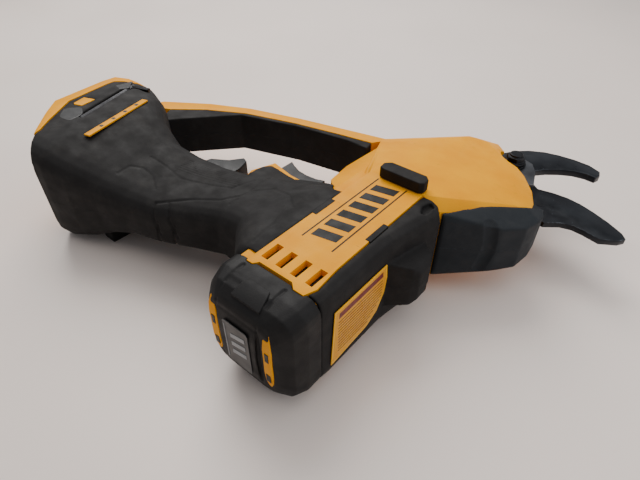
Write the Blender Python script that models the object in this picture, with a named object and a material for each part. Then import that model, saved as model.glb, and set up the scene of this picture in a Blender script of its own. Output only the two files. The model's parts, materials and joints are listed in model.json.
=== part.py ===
"""Battery electric pruner, lying on its side.

The tool's own frame is used for every shape: +X runs from the foot of the handle to the
blades, +Y from the motor's rear cap to the hand guard, and Z across the thickness, with
z = 0 on the parting plane between the two housing halves.  Everything hangs on one empty,
which is moved at the end so that the whole tool stands on z = 0 with its box centred on
the origin.  Lengths below are in millimetres and are scaled to metres when a mesh is made.
"""

from math import atan2, cos, pi, radians, sin, sqrt

import bmesh
import bpy
from mathutils import Matrix, Vector

MM = 0.001
GAP = 0.3

# Thickness of the main bodies, measured from the parting plane.
BARREL_HALF = 31.5
FOOT_HALF = 39.0
GUARD_HALF = 15.5
SKIN = 3.4
WALL = 2.6

# Motor barrel, across X and along Y.
PLATE_LEFT, PLATE_RIGHT = -18.0, 20.0
BARREL_REAR, BARREL_FRONT = -57.0, 46.0
DRIVE_X = 3.0

# Blade pivot and the gear train that turns it.
PIVOT = (35.5, 151.0)
SECTOR_RADIUS, PINION_RADIUS = 36.0, 9.0
GEAR_MODULE = 1.5
BEVEL_RADIUS = 7.0
BEVEL_RATIO = 2.0
HUB_RADIUS = 10.8
BLADE_LOW, BLADE_HIGH = -4.4, -0.4
HOOK_LOW, HOOK_HIGH = 0.2, 5.2
SECTOR_LOW, SECTOR_HIGH = -11.5, -6.5

# Handle and foot: stations along X with the Y range, the half thickness and the roundness of
# the section there (1 is an ellipse, 0 a box).
GRIP_STATIONS = (
    (-252.0, -79.0, 36.0, 38.4, 0.34),
    (-240.0, -81.0, 36.0, 39.0, 0.34),
    (-215.0, -84.0, 34.0, 39.0, 0.34),
    (-195.0, -82.0, 26.0, 38.2, 0.36),
    (-175.0, -77.0, 12.0, 33.0, 0.44),
    (-155.0, -69.0, 6.0, 25.5, 0.54),
    (-135.0, -62.0, 9.0, 20.5, 0.6),
    (-112.0, -56.0, 12.0, 19.0, 0.6),
    (-92.0, -46.0, 16.0, 19.5, 0.6),
    (-72.0, -36.0, 24.0, 21.0, 0.58),
    (-55.0, -36.0, 25.0, 24.0, 0.52),
    (-42.0, -48.0, 25.5, 28.0, 0.42),
    (-32.0, -56.8, 26.0, 31.0, 0.36),
    (PLATE_LEFT - GAP, -57.0, 26.0, BARREL_HALF, 0.32),
)
FOOT_TILT = radians(9.0)


def paint(name, colour, roughness, metallic=0.0):
    """A Principled material in one linear colour."""
    material = bpy.data.materials.new(name)
    material.use_nodes = True
    shader = material.node_tree.nodes["Principled BSDF"]
    shader.inputs["Base Color"].default_value = (*colour, 1.0)
    shader.inputs["Roughness"].default_value = roughness
    shader.inputs["Metallic"].default_value = metallic
    material.diffuse_color = (*colour, 1.0)
    return material


def clear_scene():
    for thing in list(bpy.data.objects):
        bpy.data.objects.remove(thing, do_unlink=True)


def make_object(name, mesh_data, material, body=None, sharp=35.0):
    """Turn a bmesh in millimetres into an object in metres, standing at its body's axis."""
    bmesh.ops.recalc_face_normals(mesh_data, faces=mesh_data.faces[:])
    origin = Vector(body["axis_point"]) if body else Vector((0.0, 0.0, 0.0))
    bmesh.ops.translate(mesh_data, verts=mesh_data.verts[:], vec=-origin)
    bmesh.ops.scale(mesh_data, verts=mesh_data.verts[:], vec=(MM, MM, MM))
    mesh = bpy.data.meshes.new(name)
    mesh_data.to_mesh(mesh)
    mesh_data.free()
    mesh.materials.append(material)
    mesh.shade_smooth()
    mesh.set_sharp_from_angle(angle=radians(sharp))
    thing = bpy.data.objects.new(name, mesh)
    bpy.context.scene.collection.objects.link(thing)
    thing.parent = body if body else TOOL
    return thing


def make_body(name, axis_point):
    """An empty on a joint's axis; the pieces of that body hang on it."""
    empty = bpy.data.objects.new(name, None)
    bpy.context.scene.collection.objects.link(empty)
    empty.parent = TOOL
    empty.location = Vector(axis_point) * MM
    empty["axis_point"] = list(axis_point)
    return empty


def prism(outline, low, high):
    """A closed prism on an outline of (x, y) points, between two heights."""
    shape = bmesh.new()
    bottom = [shape.verts.new((x, y, low)) for x, y in outline]
    top = [shape.verts.new((x, y, high)) for x, y in outline]
    shape.faces.new(bottom[::-1])
    shape.faces.new(top)
    join_rings(shape, bottom, top)
    return shape


def join_rings(shape, first, second):
    count = len(first)
    for i in range(count):
        j = (i + 1) % count
        shape.faces.new((first[i], first[j], second[j], second[i]))


def loft(rings):
    """A closed solid through rings of equal length, capped at both ends."""
    shape = bmesh.new()
    layers = [[shape.verts.new(point) for point in ring] for ring in rings]
    for first, second in zip(layers, layers[1:]):
        join_rings(shape, first, second)
    shape.faces.new(layers[0][::-1])
    shape.faces.new(layers[-1])
    bmesh.ops.recalc_face_normals(shape, faces=shape.faces[:])
    return shape


def grown(outline, distance):
    """An outline with every side moved outwards by a distance, its corners kept sharp."""
    points = [Vector(point) for point in outline]
    count = len(points)
    area = sum(points[i].cross(points[(i + 1) % count]) for i in range(count))
    side = 1.0 if area > 0 else -1.0
    result = []
    for i in range(count):
        before = (points[i] - points[i - 1]).normalized()
        after = (points[(i + 1) % count] - points[i]).normalized()
        first = side * Vector((before.y, -before.x))
        second = side * Vector((after.y, -after.x))
        result.append(points[i] + (first + second) * distance / (1.0 + first.dot(second)))
    return [tuple(point) for point in result]


def hull(points):
    shape = bmesh.new()
    for point in points:
        shape.verts.new(point)
    bmesh.ops.convex_hull(shape, input=shape.verts[:])
    loose = [vert for vert in shape.verts if not vert.link_faces]
    bmesh.ops.delete(shape, geom=loose, context="VERTS")
    return shape


def both_sides(points):
    """Points given for z > 0, and the same points mirrored below the parting plane."""
    return [p for x, y, z in points for p in ((x, y, z), (x, y, -z))]


def arc(centre, radius, start, end, steps):
    """Points on an arc, with angles in degrees."""
    turn = [radians(start + (end - start) * i / steps) for i in range(steps + 1)]
    return [(centre[0] + radius * cos(a), centre[1] + radius * sin(a)) for a in turn]


def box(low, high):
    outline = [(low[0], low[1]), (high[0], low[1]), (high[0], high[1]), (low[0], high[1])]
    return prism(outline, low[2], high[2])


def turned(profile, steps=24):
    """A solid of revolution about Z from (radius, height) points, lowest first."""
    shape = bmesh.new()
    layers = []
    for radius, height in profile:
        ring = [
            shape.verts.new((radius * cos(2 * pi * i / steps), radius * sin(2 * pi * i / steps), height))
            for i in range(steps)
        ]
        layers.append(ring)
    for first, second in zip(layers, layers[1:]):
        join_rings(shape, first, second)
    shape.faces.new(layers[0][::-1])
    shape.faces.new(layers[-1])
    return shape


def moved(shape, offset=(0.0, 0.0, 0.0), turn=None):
    if turn is not None:
        bmesh.ops.transform(shape, matrix=turn, verts=shape.verts[:])
    bmesh.ops.translate(shape, verts=shape.verts[:], vec=offset)
    return shape


# Turns a piece made along Z so that its +Z end points along -Y, or along +X.
ALONG_Y_DOWN = Matrix.Rotation(radians(90.0), 4, "X")
ALONG_X = Matrix.Rotation(radians(90.0), 4, "Y")
# Takes a prism on an outline of (y, z) points and stands it across Y and Z, its height along X.
OUTLINE_YZ = Matrix(((0.0, 0.0, 1.0, 0.0), (1.0, 0.0, 0.0, 0.0), (0.0, 1.0, 0.0, 0.0), (0.0, 0.0, 0.0, 1.0)))


def rounded(shape, width, segments=1, angle=30.0):
    """Bevel the edges that turn by more than an angle."""
    edges = [e for e in shape.edges if len(e.link_faces) == 2 and e.calc_face_angle() > radians(angle)]
    bmesh.ops.bevel(
        shape, geom=edges, offset=width, segments=segments, profile=0.5, affect="EDGES", clamp_overlap=True
    )
    return shape


def temp_object(shape):
    mesh = bpy.data.meshes.new("tool_shape")
    bmesh.ops.recalc_face_normals(shape, faces=shape.faces[:])
    shape.to_mesh(mesh)
    shape.free()
    thing = bpy.data.objects.new("tool_shape", mesh)
    bpy.context.scene.collection.objects.link(thing)
    return thing


def combine(base, changes):
    """Apply Booleans in turn; changes is a list of (operation, bmesh)."""
    thing = temp_object(base)
    for operation, other in changes:
        cutter = temp_object(other)
        step = thing.modifiers.new("step", "BOOLEAN")
        step.operation = operation
        step.object = cutter
        step.solver = "EXACT"
        bpy.context.view_layer.update()
        done = thing.evaluated_get(bpy.context.evaluated_depsgraph_get())
        mesh = bpy.data.meshes.new_from_object(done)
        thing.modifiers.remove(step)
        old = thing.data
        thing.data = mesh
        bpy.data.meshes.remove(old)
        bpy.data.objects.remove(cutter, do_unlink=True)
    shape = bmesh.new()
    shape.from_mesh(thing.data)
    bpy.data.objects.remove(thing, do_unlink=True)
    bmesh.ops.remove_doubles(shape, verts=shape.verts[:], dist=0.002)
    bmesh.ops.dissolve_limit(
        shape, angle_limit=radians(0.5), verts=shape.verts[:], edges=shape.edges[:]
    )
    bmesh.ops.triangulate(shape, faces=shape.faces[:])
    return shape


def upper_half(side):
    """A block that holds one side of the parting plane, clear of it by half a gap."""
    low, high = (GAP / 2, 60.0) if side > 0 else (-60.0, -GAP / 2)
    return box((-400.0, -200.0, low), (300.0, 300.0, high))


# ---------------------------------------------------------------- handle and foot

GRIP_SEGMENTS = 24
# The foot's two cut corners, heel and front, each a line with the outside on its right, and
# the line between the yellow band round the foot's base and the rubber.
FOOT_CORNERS = (((-250.0, -35.0), (-205.0, -76.0)), ((-236.0, 39.0), (-258.0, 20.6)))
BAND_LINE = (
    (-207.0, -84.0),
    (-214.0, -64.0),
    (-240.5, -29.0),
    (-249.0, 13.5),
    (-229.0, 32.0),
    (-222.0, 45.0),
)
TILT_FROM, TILT_FULL = 150.0, 210.0


def grip_ring(station, inset):
    """One section of the handle, a rounded box across Y and Z at a station along X."""
    x, low, high, half, roundness = station
    centre, reach = (low + high) / 2, (high - low) / 2 - inset
    depth = half - inset
    lean = sin(FOOT_TILT) * max(0.0, min(1.0, (-x - TILT_FROM) / (TILT_FULL - TILT_FROM)))
    ring = []
    for i in range(GRIP_SEGMENTS):
        angle = 2 * pi * (i + 0.5) / GRIP_SEGMENTS
        c, s = cos(angle), sin(angle)
        y = reach * abs(c) ** roundness * (1 if c > 0 else -1)
        z = depth * abs(s) ** roundness * (1 if s > 0 else -1)
        ring.append((x - lean * y, centre + y, z))
    return ring


def corner_block(first, second, inset):
    """Everything outside a line in the XY plane, moved inwards by inset."""
    along = (Vector(second) - Vector(first)).normalized()
    outward = Vector((along.y, -along.x))
    near = [Vector(first) - 90.0 * along - inset * outward, Vector(second) + 90.0 * along - inset * outward]
    far = [near[1] + 120.0 * outward, near[0] + 120.0 * outward]
    return prism([tuple(point) for point in near + far], -60.0, 60.0)


def grip_solid(inset, start=0.0, end=0.0):
    """The whole handle with its skin moved in by inset and its two ends moved along X."""
    rings = [grip_ring(station, inset) for station in GRIP_STATIONS]
    rings[0] = [(x + start, y, z) for x, y, z in rings[0]]
    rings[-1] = [(x + end, y, z) for x, y, z in rings[-1]]
    corners = [cut(corner_block(first, second, inset)) for first, second in FOOT_CORNERS]
    return combine(loft(rings), corners)


# ---------------------------------------------------------------- housing outlines

HEAD_POINTS = (
    (PLATE_LEFT, 44.0, BARREL_HALF),
    (PLATE_RIGHT, 44.0, BARREL_HALF),
    (-12.0, 60.0, 30.5),
    (20.0, 58.0, 30.5),
    (-44.0, 98.0, 19.0),
    (-52.0, 110.0, 15.0),
    (-14.0, 131.0, 20.0),
    (-2.0, 152.0, 17.5),
    (12.0, 155.0, 16.0),
    (-10.0, 155.0, 10.0),
    (-1.0, 167.0, 10.0),
    (16.0, 168.0, 10.0),
    (25.0, 152.0, 14.0),
    (40.0, 130.0, 17.0),
    (50.0, 130.0, 14.5),
    (61.0, 116.0, 14.0),
    (67.0, 103.0, 14.0),
    (69.0, 90.0, 15.0),
    (61.0, 86.0, 20.0),
    (42.0, 70.0, 23.0),
    (34.0, 56.0, 24.0),
    (32.0, 44.0, 25.0),
    (-24.0, 44.0, 24.0),
    (-30.0, 60.0, 24.0),
)
NECK_POINTS = (
    (-26.0, 20.0, 27.0),
    (-40.0, 34.0, 22.0),
    (-47.0, 60.0, 17.0),
    (-47.0, 96.0, 15.2),
    (-20.0, 100.0, 22.0),
    (-10.0, 44.0, 28.0),
)
NOSE_POINTS = (
    (30.0, 44.3, 25.5),
    (33.5, 44.3, 24.5),
    (36.0, 44.3, 20.0),
    (41.0, 52.0, 18.0),
    (46.0, 57.5, 16.5),
    (54.0, 58.5, 16.0),
    (64.0, 63.5, 16.5),
    (74.0, 75.0, 15.5),
    (76.5, 88.0, 14.0),
    (76.0, 98.0, 12.0),
    (73.0, 107.0, 11.0),
    (67.0, 88.5, 20.0),
    (43.0, 63.5, 24.0),
)
RIM = (
    (-95.0, 16.0),
    (-89.0, 33.0),
    (-70.0, 28.5),
    (-55.0, 28.0),
    (-44.0, 32.0),
    (-36.0, 40.0),
    (-24.0, 30.0),
    (-24.0, 10.0),
    (-90.0, 2.0),
)
# Two hulls of rubber that cover the rim's faces up to a few millimetres from its edge.
RIM_COVER = (
    (
        (-91.0, 10.0, 18.5),
        (-91.5, 22.0, 17.0),
        (-88.0, 28.5, 16.6),
        (-84.0, 28.0, 16.8),
        (-70.0, 24.5, 17.2),
        (-60.0, 24.2, 17.8),
        (-60.0, 6.0, 20.5),
        (-80.0, 4.0, 19.5),
    ),
    (
        (-64.0, 24.3, 17.6),
        (-54.0, 24.4, 18.4),
        (-46.0, 27.0, 19.4),
        (-38.0, 31.0, 21.5),
        (-30.0, 26.0, 26.5),
        (-30.0, 6.0, 28.5),
        (-46.0, 4.0, 25.0),
        (-64.0, 4.0, 20.5),
    ),
)
GUARD_OUTER = (
    (-240.0, 28.0),
    (-232.0, 44.0),
    (-198.0, 66.5),
    (-165.0, 82.0),
    (-121.0, 95.0),
    (-82.0, 103.5),
    (-46.0, 112.0),
)
GUARD_SPLIT = (
    (-54.0, 99.5),
    (-81.0, 94.5),
    (-119.0, 86.3),
    (-161.5, 73.4),
    (-192.0, 57.0),
    (-216.0, 38.0),
)
GUARD_INNER = (
    (-52.0, 91.0),
    (-70.0, 91.5),
    (-114.0, 84.0),
    (-163.0, 69.0),
    (-196.0, 32.0),
    (-206.0, 18.0),
)

MOUTH = (
    (12.0, 195.0),
    (12.0, 150.0),
    (26.0, 140.0),
    (60.0, 112.0),
    (72.0, 101.0),
    (110.0, 88.0),
    (130.0, 195.0),
)
MOUTH_LOW, MOUTH_HIGH = -5.0, 9.2
NOTCH_CENTRE, NOTCH_RADIUS = (39.0, 154.0), 15.0

# The lengthwise shaft of the gear train crosses the upright one here.
SHAFT_Y = PIVOT[1] - sqrt((SECTOR_RADIUS + PINION_RADIUS) ** 2 - (PIVOT[0] - DRIVE_X) ** 2)
DRIVE = (DRIVE_X, SHAFT_Y)
BEARING_LOW, BEARING_HIGH = 13.0, 17.0
BEARING_RADIUS = 8.0
SHAFT_RADIUS = 4.0

SCREWS = (
    (-206.0, 54.5),
    (-57.0, 104.2),
    (-150.0, -36.0),
    (-31.0, 62.0),
    (-20.0, 117.0),
    (52.0, 104.0),
)
SCREW_SEAT = -9.0
SCREW_TIP = 6.0
SCREW_HEAD_RADIUS, SCREW_RADIUS = 3.2, 1.6
BOSS_RADIUS = 4.6

FOOT_CENTRE = (-253.9, -7.0)
TERMINALS = (-9.0, 0.0, 9.0)
REST_FOOT_LOW, REST_FOOT_HIGH = (-179.0, -61.0, -FOOT_HALF), (-167.0, -43.0, -28.0)
RAIL_HALF = 26.0
TRIGGER_SLOT = (-93.0, -52.0)
LEVER_AXIS = (-119.0, 1.0)
LEVER_PIN_RADIUS = 1.5
WRENCH_ANGLE = radians(-70.0)
WRENCH_START = (-231.0, 18.0)
WRENCH_Z = 36.4
WRENCH_LENGTH = 56.0
CLIP = ((-238.0, -18.5), (-228.5, -15.0), (-226.0, -27.0), (-232.5, -29.5), (-234.6, -28.5))
STRIPE_CENTRE, STRIPE_ANGLE = (-192.0, -19.0), radians(-73.0)
STRIPE_LENGTH, STRIPE_WIDTH = 60.0, 5.0
VENT_FIRST, VENT_STEP, VENT_COUNT = -12.4, 9.6, 4
PLATE_OUTLINE = (
    (PLATE_LEFT, BARREL_REAR - 2.0),
    (-14.0, BARREL_REAR - 2.0),
    (-12.0, BARREL_REAR + 1.0),
    (9.5, BARREL_REAR + 1.0),
    (13.0, BARREL_REAR - 2.0),
    (19.0, BARREL_REAR - 2.0),
    (PLATE_RIGHT + 1.5, BARREL_REAR + 5.0),
    (PLATE_RIGHT, BARREL_REAR + 22.0),
    (PLATE_RIGHT, BARREL_FRONT),
    (PLATE_LEFT, BARREL_FRONT),
)


def band_block(grow):
    """The space outside the band line, moved along X by grow."""
    line = [(x + grow, y) for x, y in BAND_LINE]
    outside = [(-222.0, 90.0), (-300.0, 90.0), (-300.0, -130.0), (-207.0, -130.0)]
    return prism(line + outside, -60.0, 60.0)


def head_solid(inset=0.0):
    shape = hull(both_sides(HEAD_POINTS))
    if inset:
        shift_faces(shape, -inset)
    return shape


def shift_faces(shape, distance):
    """Move every vertex along its normal, weighted so that faces keep their distance."""
    shape.normal_update()
    moves = {v: v.normal * distance * v.calc_shell_factor() for v in shape.verts}
    for vert, step in moves.items():
        vert.co += step


def disc(centre, radius, low, high, steps=20):
    return prism(arc(centre, radius, 0.0, 360.0 - 360.0 / steps, steps - 1), low, high)


def tube(centre, outer, inner, low, high, steps=20):
    bore = disc(centre, inner, low - 1.0, high + 1.0, steps)
    return combine(disc(centre, outer, low, high, steps), [cut(bore)])


def cut(shape):
    return ("DIFFERENCE", shape)


def add(shape):
    return ("UNION", shape)


def turned_block(centre, angle, length, width, low, high):
    """A block whose long side leaves its centre at an angle in the XY plane."""
    block = box((-length / 2, -width / 2, low), (length / 2, width / 2, high))
    return moved(block, (centre[0], centre[1], 0.0), Matrix.Rotation(angle, 4, "Z"))


def foot_block(low, high):
    """A block in the foot's tilted frame, whose origin is the middle of the base plane."""
    block = box(low, high)
    return moved(block, (FOOT_CENTRE[0], FOOT_CENTRE[1], 0.0), Matrix.Rotation(FOOT_TILT, 4, "Z"))


def wrench_shape(radius, steps, lift=0.0):
    """An L-shaped hex key lying in its groove, optionally swept upwards to cut the groove."""
    direction = (cos(WRENCH_ANGLE), sin(WRENCH_ANGLE))
    side = (-direction[1], direction[0])
    start = WRENCH_START
    middle = (start[0] + direction[0] * WRENCH_LENGTH / 2, start[1] + direction[1] * WRENCH_LENGTH / 2)
    bend = (start[0] + side[0] * 7.0, start[1] + side[1] * 7.0)
    arms = []
    for centre, angle, length in (
        (middle, WRENCH_ANGLE, WRENCH_LENGTH + 2 * radius),
        (bend, WRENCH_ANGLE + pi / 2, 14.0 + 2 * radius),
    ):
        if lift:
            arm = turned_block(centre, angle, length, 2 * radius, WRENCH_Z - radius, WRENCH_Z + lift)
        else:
            arm = moved(disc((0.0, 0.0), radius, -length / 2, length / 2, steps), turn=ALONG_X)
            arm = moved(arm, (centre[0], centre[1], WRENCH_Z), Matrix.Rotation(angle, 4, "Z"))
        arms.append(arm)
    return combine(arms[0], [add(arms[1])])


# ---------------------------------------------------------------- housing halves


def main_housing():
    """The outer volume of both yellow housing halves, before they are hollowed."""
    barrel = box((-26.0, BARREL_REAR, -28.0), (25.0, BARREL_FRONT, 28.0))
    beam_outline = list(GUARD_OUTER) + [(x, y + GAP) for x, y in GUARD_SPLIT]
    guard_beam = prism(beam_outline, -GUARD_HALF, GUARD_HALF)
    band = combine(grip_solid(0.0), [("INTERSECT", band_block(-GAP / 2))])
    parts = (
        prism(list(PLATE_OUTLINE), -BARREL_HALF, BARREL_HALF),
        head_solid(),
        hull(both_sides(NECK_POINTS)),
        guard_beam,
        grip_solid(SKIN + GAP, start=-1.0, end=1.0),
        prism(list(RIM), -GUARD_HALF, GUARD_HALF),
        band,
    )
    return combine(barrel, [add(part) for part in parts])


def bosses():
    """Columns left standing in the hollows: one for each screw, and two that hold the bearings."""
    columns = [disc(spot, BOSS_RADIUS, -60.0, 60.0, steps=12) for spot in SCREWS]
    columns.append(disc(DRIVE, BEARING_RADIUS + 2.5, BEARING_LOW - 0.5, 60.0))
    columns.append(disc(DRIVE, BEARING_RADIUS + 2.5, -60.0, -BEARING_LOW + 0.5))
    return columns


def hollows():
    """The inside of barrel, head and handle, with the bosses left standing."""
    barrel_bay = box((-22.5, BARREL_REAR - 5.0, -25.0), (21.5, BARREL_FRONT + 4.0, 25.0))
    handle_bay = grip_solid(SKIN + GAP + WALL, start=11.0)
    bays = combine(barrel_bay, [add(head_solid(inset=3.0)), add(handle_bay)])
    return combine(bays, [cut(column) for column in bosses()])


def sector_room():
    """The fan of space that the sector gear sweeps."""
    rim = arc(PIVOT, SECTOR_RADIUS + 1.9, 168.0, 290.0, 12)
    return rim + arc(PIVOT, HUB_RADIUS + 3.5, 300.0, 518.0, 12)


def housing_openings():
    """Everything that opens the housing to the outside."""
    return [
        cut(foot_block((-20.0, -RAIL_HALF - 0.5, -30.0), (9.5, RAIL_HALF + 0.5, 30.0))),
        cut(foot_block((0.0, -20.0, -16.0), (30.0, 20.0, 16.0))),
        cut(box((TRIGGER_SLOT[0], 8.0, -9.0), (TRIGGER_SLOT[1], 80.0, 9.0))),
        cut(box((-149.0, -12.0, -8.0), (-111.0, 40.0, 8.0))),
        cut(disc(LEVER_AXIS, LEVER_PIN_RADIUS + GAP, -12.0, 12.0, steps=12)),
        cut(prism(list(MOUTH), MOUTH_LOW, MOUTH_HIGH)),
        cut(disc(NOTCH_CENTRE, NOTCH_RADIUS, 5.3, 60.0)),
        cut(disc(NOTCH_CENTRE, NOTCH_RADIUS, -60.0, -4.8)),
        cut(prism(sector_room(), SECTOR_LOW - 0.6, MOUTH_LOW + 0.5)),
        cut(disc(DRIVE, BEARING_RADIUS + GAP, -BEARING_HIGH - GAP, -BEARING_LOW + 1.0)),
        cut(disc(DRIVE, BEARING_RADIUS + GAP, BEARING_LOW - 1.0, BEARING_HIGH + GAP)),
        cut(wrench_shape(2.7, 4, lift=30.0)),
    ]


def screw_bores():
    bores = []
    for spot in SCREWS:
        bores.append(cut(disc(spot, SCREW_HEAD_RADIUS + GAP, -60.0, SCREW_SEAT, steps=12)))
        bores.append(cut(disc(spot, SCREW_RADIUS + GAP, -20.0, SCREW_TIP + 1.0, steps=8)))
    return bores


def vent_slots():
    """Four slots through each flat side of the barrel."""
    slots = []
    for i in range(VENT_COUNT):
        x = VENT_FIRST + VENT_STEP * i
        slots.append(cut(box((x - 2.2, -52.5, 20.0), (x + 2.2, -40.5, 40.0))))
        slots.append(cut(box((x - 2.2, -52.5, -40.0), (x + 2.2, -40.5, -20.0))))
    return slots


def split_halves(whole, names, material, sharp=35.0):
    """Cut a shape on the parting plane into its right (z > 0) and left halves."""
    for name, side in zip(names, (1, -1)):
        half = combine(whole.copy(), [("INTERSECT", upper_half(side))])
        make_object(name, half, material, sharp=sharp)
    whole.free()


def make_housing():
    changes = [cut(hollows())] + housing_openings() + screw_bores() + vent_slots()
    split_halves(combine(main_housing(), changes), ("right_housing", "left_housing"), YELLOW)


def make_grip():
    """The rubber over the handle and foot, one half on each housing half."""
    neck = hull(both_sides(NECK_POINTS))
    shift_faces(neck, GAP)
    changes = [add(hull(both_sides(points))) for points in RIM_COVER]
    changes += [
        cut(grip_solid(SKIN, start=-2.0, end=2.0)),
        cut(band_block(GAP / 2)),
        cut(box((-26.3, -100.0, -28.3), (0.0, 60.0, 28.3))),
        cut(prism(grown(RIM, GAP), -GUARD_HALF - GAP, GUARD_HALF + GAP)),
        cut(neck),
        cut(prism(grown(GUARD_OUTER + GUARD_INNER, GAP), -GUARD_HALF - GAP, GUARD_HALF + GAP)),
        cut(box((-149.0, -12.0, -8.0), (-111.0, 40.0, 8.0))),
        cut(wrench_shape(2.7, 4, lift=30.0)),
        cut(prism(grown(CLIP, GAP), 36.9, 60.0)),
    ]
    for low, high in ((36.4, 60.0), (-60.0, -36.4)):
        changes.append(
            cut(turned_block(STRIPE_CENTRE, STRIPE_ANGLE, STRIPE_LENGTH + 0.6, STRIPE_WIDTH + 0.6, low, high))
        )
    split_halves(combine(grip_solid(0.0), changes), ("right_grip", "left_grip"), RUBBER, sharp=50.0)


def make_guard_liner():
    outline = list(GUARD_SPLIT) + list(GUARD_INNER)[::-1]
    whole = combine(prism(outline, -GUARD_HALF, GUARD_HALF), [cut(grip_solid(SKIN))])
    split_halves(whole, ("right_guard_liner", "left_guard_liner"), RUBBER)


# (y, x of its outer side) down the rubber beside the barrel.
SIDE_PAD = (
    (-57.0, 28.4),
    (-50.0, 29.0),
    (-4.0, 29.0),
    (10.0, 31.0),
    (24.0, 34.0),
    (37.0, 36.5),
    (43.7, 32.0),
)
PAD_TOP = 31.2
PAD_SLOT = ((25.0, 35.0), (26.5, 41.5), (30.5, 40.0), (30.0, 30.0), (28.0, 28.5))
PAD_TAB = (
    (28.0, -4.0, 17.0),
    (28.0, 30.0, 17.0),
    (41.0, 4.5, 14.0),
    (44.0, 8.0, 10.0),
    (44.0, 18.0, 10.0),
    (41.0, 23.0, 14.0),
)


def make_side_pad():
    """The rubber beside the barrel, a channel that wraps the barrel's long edge."""
    rings = []
    for y, side in SIDE_PAD:
        upper = [(PLATE_RIGHT, y, PAD_TOP), (side - 6.0, y, PAD_TOP), (side - 1.5, y, 29.0), (side, y, 24.0)]
        rings.append(upper + [(x, y, -z) for x, y, z in upper[::-1]])
    changes = [
        add(hull(both_sides(PAD_TAB))),
        cut(prism(PAD_SLOT, 28.0, 60.0)),
        cut(prism(PAD_SLOT, -60.0, -28.0)),
        cut(box((-60.0, -100.0, -28.3), (25.3, 60.0, 28.3))),
        cut(prism(grown(PLATE_OUTLINE, GAP), -60.0, 60.0)),
        cut(box((-5.0, 40.0, -60.0), (PLATE_RIGHT + GAP, 60.0, 60.0))),
    ]
    split_halves(combine(loft(rings), changes), ("right_side_pad", "left_side_pad"), RUBBER)


def make_nose():
    """The rubber nose under the blades, on the head's near corner."""
    keep_out = head_solid(inset=-GAP)
    changes = [cut(keep_out), cut(prism(list(MOUTH), MOUTH_LOW, MOUTH_HIGH))]
    split_halves(combine(hull(both_sides(NOSE_POINTS)), changes), ("right_nose", "left_nose"), NOSE_RUBBER)


BUMPER = (
    (-10.5, 44.0),
    (-7.5, 43.0),
    (17.0, 43.0),
    (19.5, 45.0),
    (19.5, 49.5),
    (16.5, 52.5),
    (-7.5, 52.5),
    (-11.0, 49.0),
)


def make_bumpers():
    for name, side in (("right_bumper", 1), ("left_bumper", -1)):
        bar = rounded(prism(list(BUMPER), 31.8, FOOT_HALF), 1.5, angle=60.0)
        if side < 0:
            bar = moved(bar, turn=Matrix.Rotation(pi, 4, "Y") @ Matrix.Scale(-1.0, 4, (1.0, 0.0, 0.0)))
        make_object(name, bar, RUBBER)


# ---------------------------------------------------------------- rear cap and label

CAP_RINGS = (
    (-57.5, -30.0, 28.8, 31.4, 9.0),
    (-67.0, -30.0, 28.8, 31.4, 9.0),
    (-75.0, -28.0, 27.0, 29.5, 10.0),
    (-80.0, -25.0, 22.0, 25.0, 10.0),
    (-81.5, -23.5, 19.5, 22.0, 9.0),
)
TONGUE = ((-62.0, 31.2), (-70.0, 31.2), (-77.0, 27.5), (-82.0, 19.0), (-83.2, 12.0))
TONGUE_LEFT, TONGUE_RIGHT = -16.5, 10.0


def cap_ring(y, left, right, half, radius):
    """A rounded rectangle across X and Z at one place along Y."""
    ring = []
    for x, z, start in (
        (right - radius, half - radius, 0.0),
        (left + radius, half - radius, 90.0),
        (left + radius, -half + radius, 180.0),
        (right - radius, -half + radius, 270.0),
    ):
        ring += [(px, y, pz) for px, pz in arc((x, z), radius, start, start + 90.0, 4)]
    return ring


def make_rear_cap():
    outline = list(TONGUE) + [(y, -z) for y, z in TONGUE[::-1]]
    tongue = prism(outline, TONGUE_LEFT, TONGUE_RIGHT)
    plate_ears = prism(grown(PLATE_OUTLINE, GAP), -60.0, 60.0)
    changes = [
        add(moved(tongue, turn=OUTLINE_YZ)),
        cut(box((-22.0, -77.0, -24.0), (21.0, -50.0, 24.0))),
        cut(plate_ears),
    ]
    cap = combine(loft([cap_ring(*ring) for ring in CAP_RINGS]), changes)
    make_object("rear_cap", cap, RUBBER, sharp=40.0)
    badge = rounded(box((-10.5, -84.0, -11.5), (5.0, -83.5, 11.5)), 0.15)
    make_object("cap_badge", badge, GREY)
    for name, x in (("cap_inlay_left", -21.0), ("cap_inlay_right", 15.0)):
        make_object(name, box((x - 1.8, -82.4, -17.0), (x + 1.8, -81.8, 17.0)), YELLOW)


LABEL = (
    (-49.0, 18.0),
    (-5.0, 18.0),
    (-3.5, 8.0),
    (-5.0, -3.0),
    (-11.0, -13.0),
    (-20.0, -18.0),
    (-51.0, -21.0),
)


def make_label():
    """A thin plate on the barrel's side, outlined across Y and Z."""
    make_object("rating_label", moved(prism(list(LABEL), 29.4, 29.9), turn=OUTLINE_YZ), LABEL_ORANGE)


# ---------------------------------------------------------------- foot pieces


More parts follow.
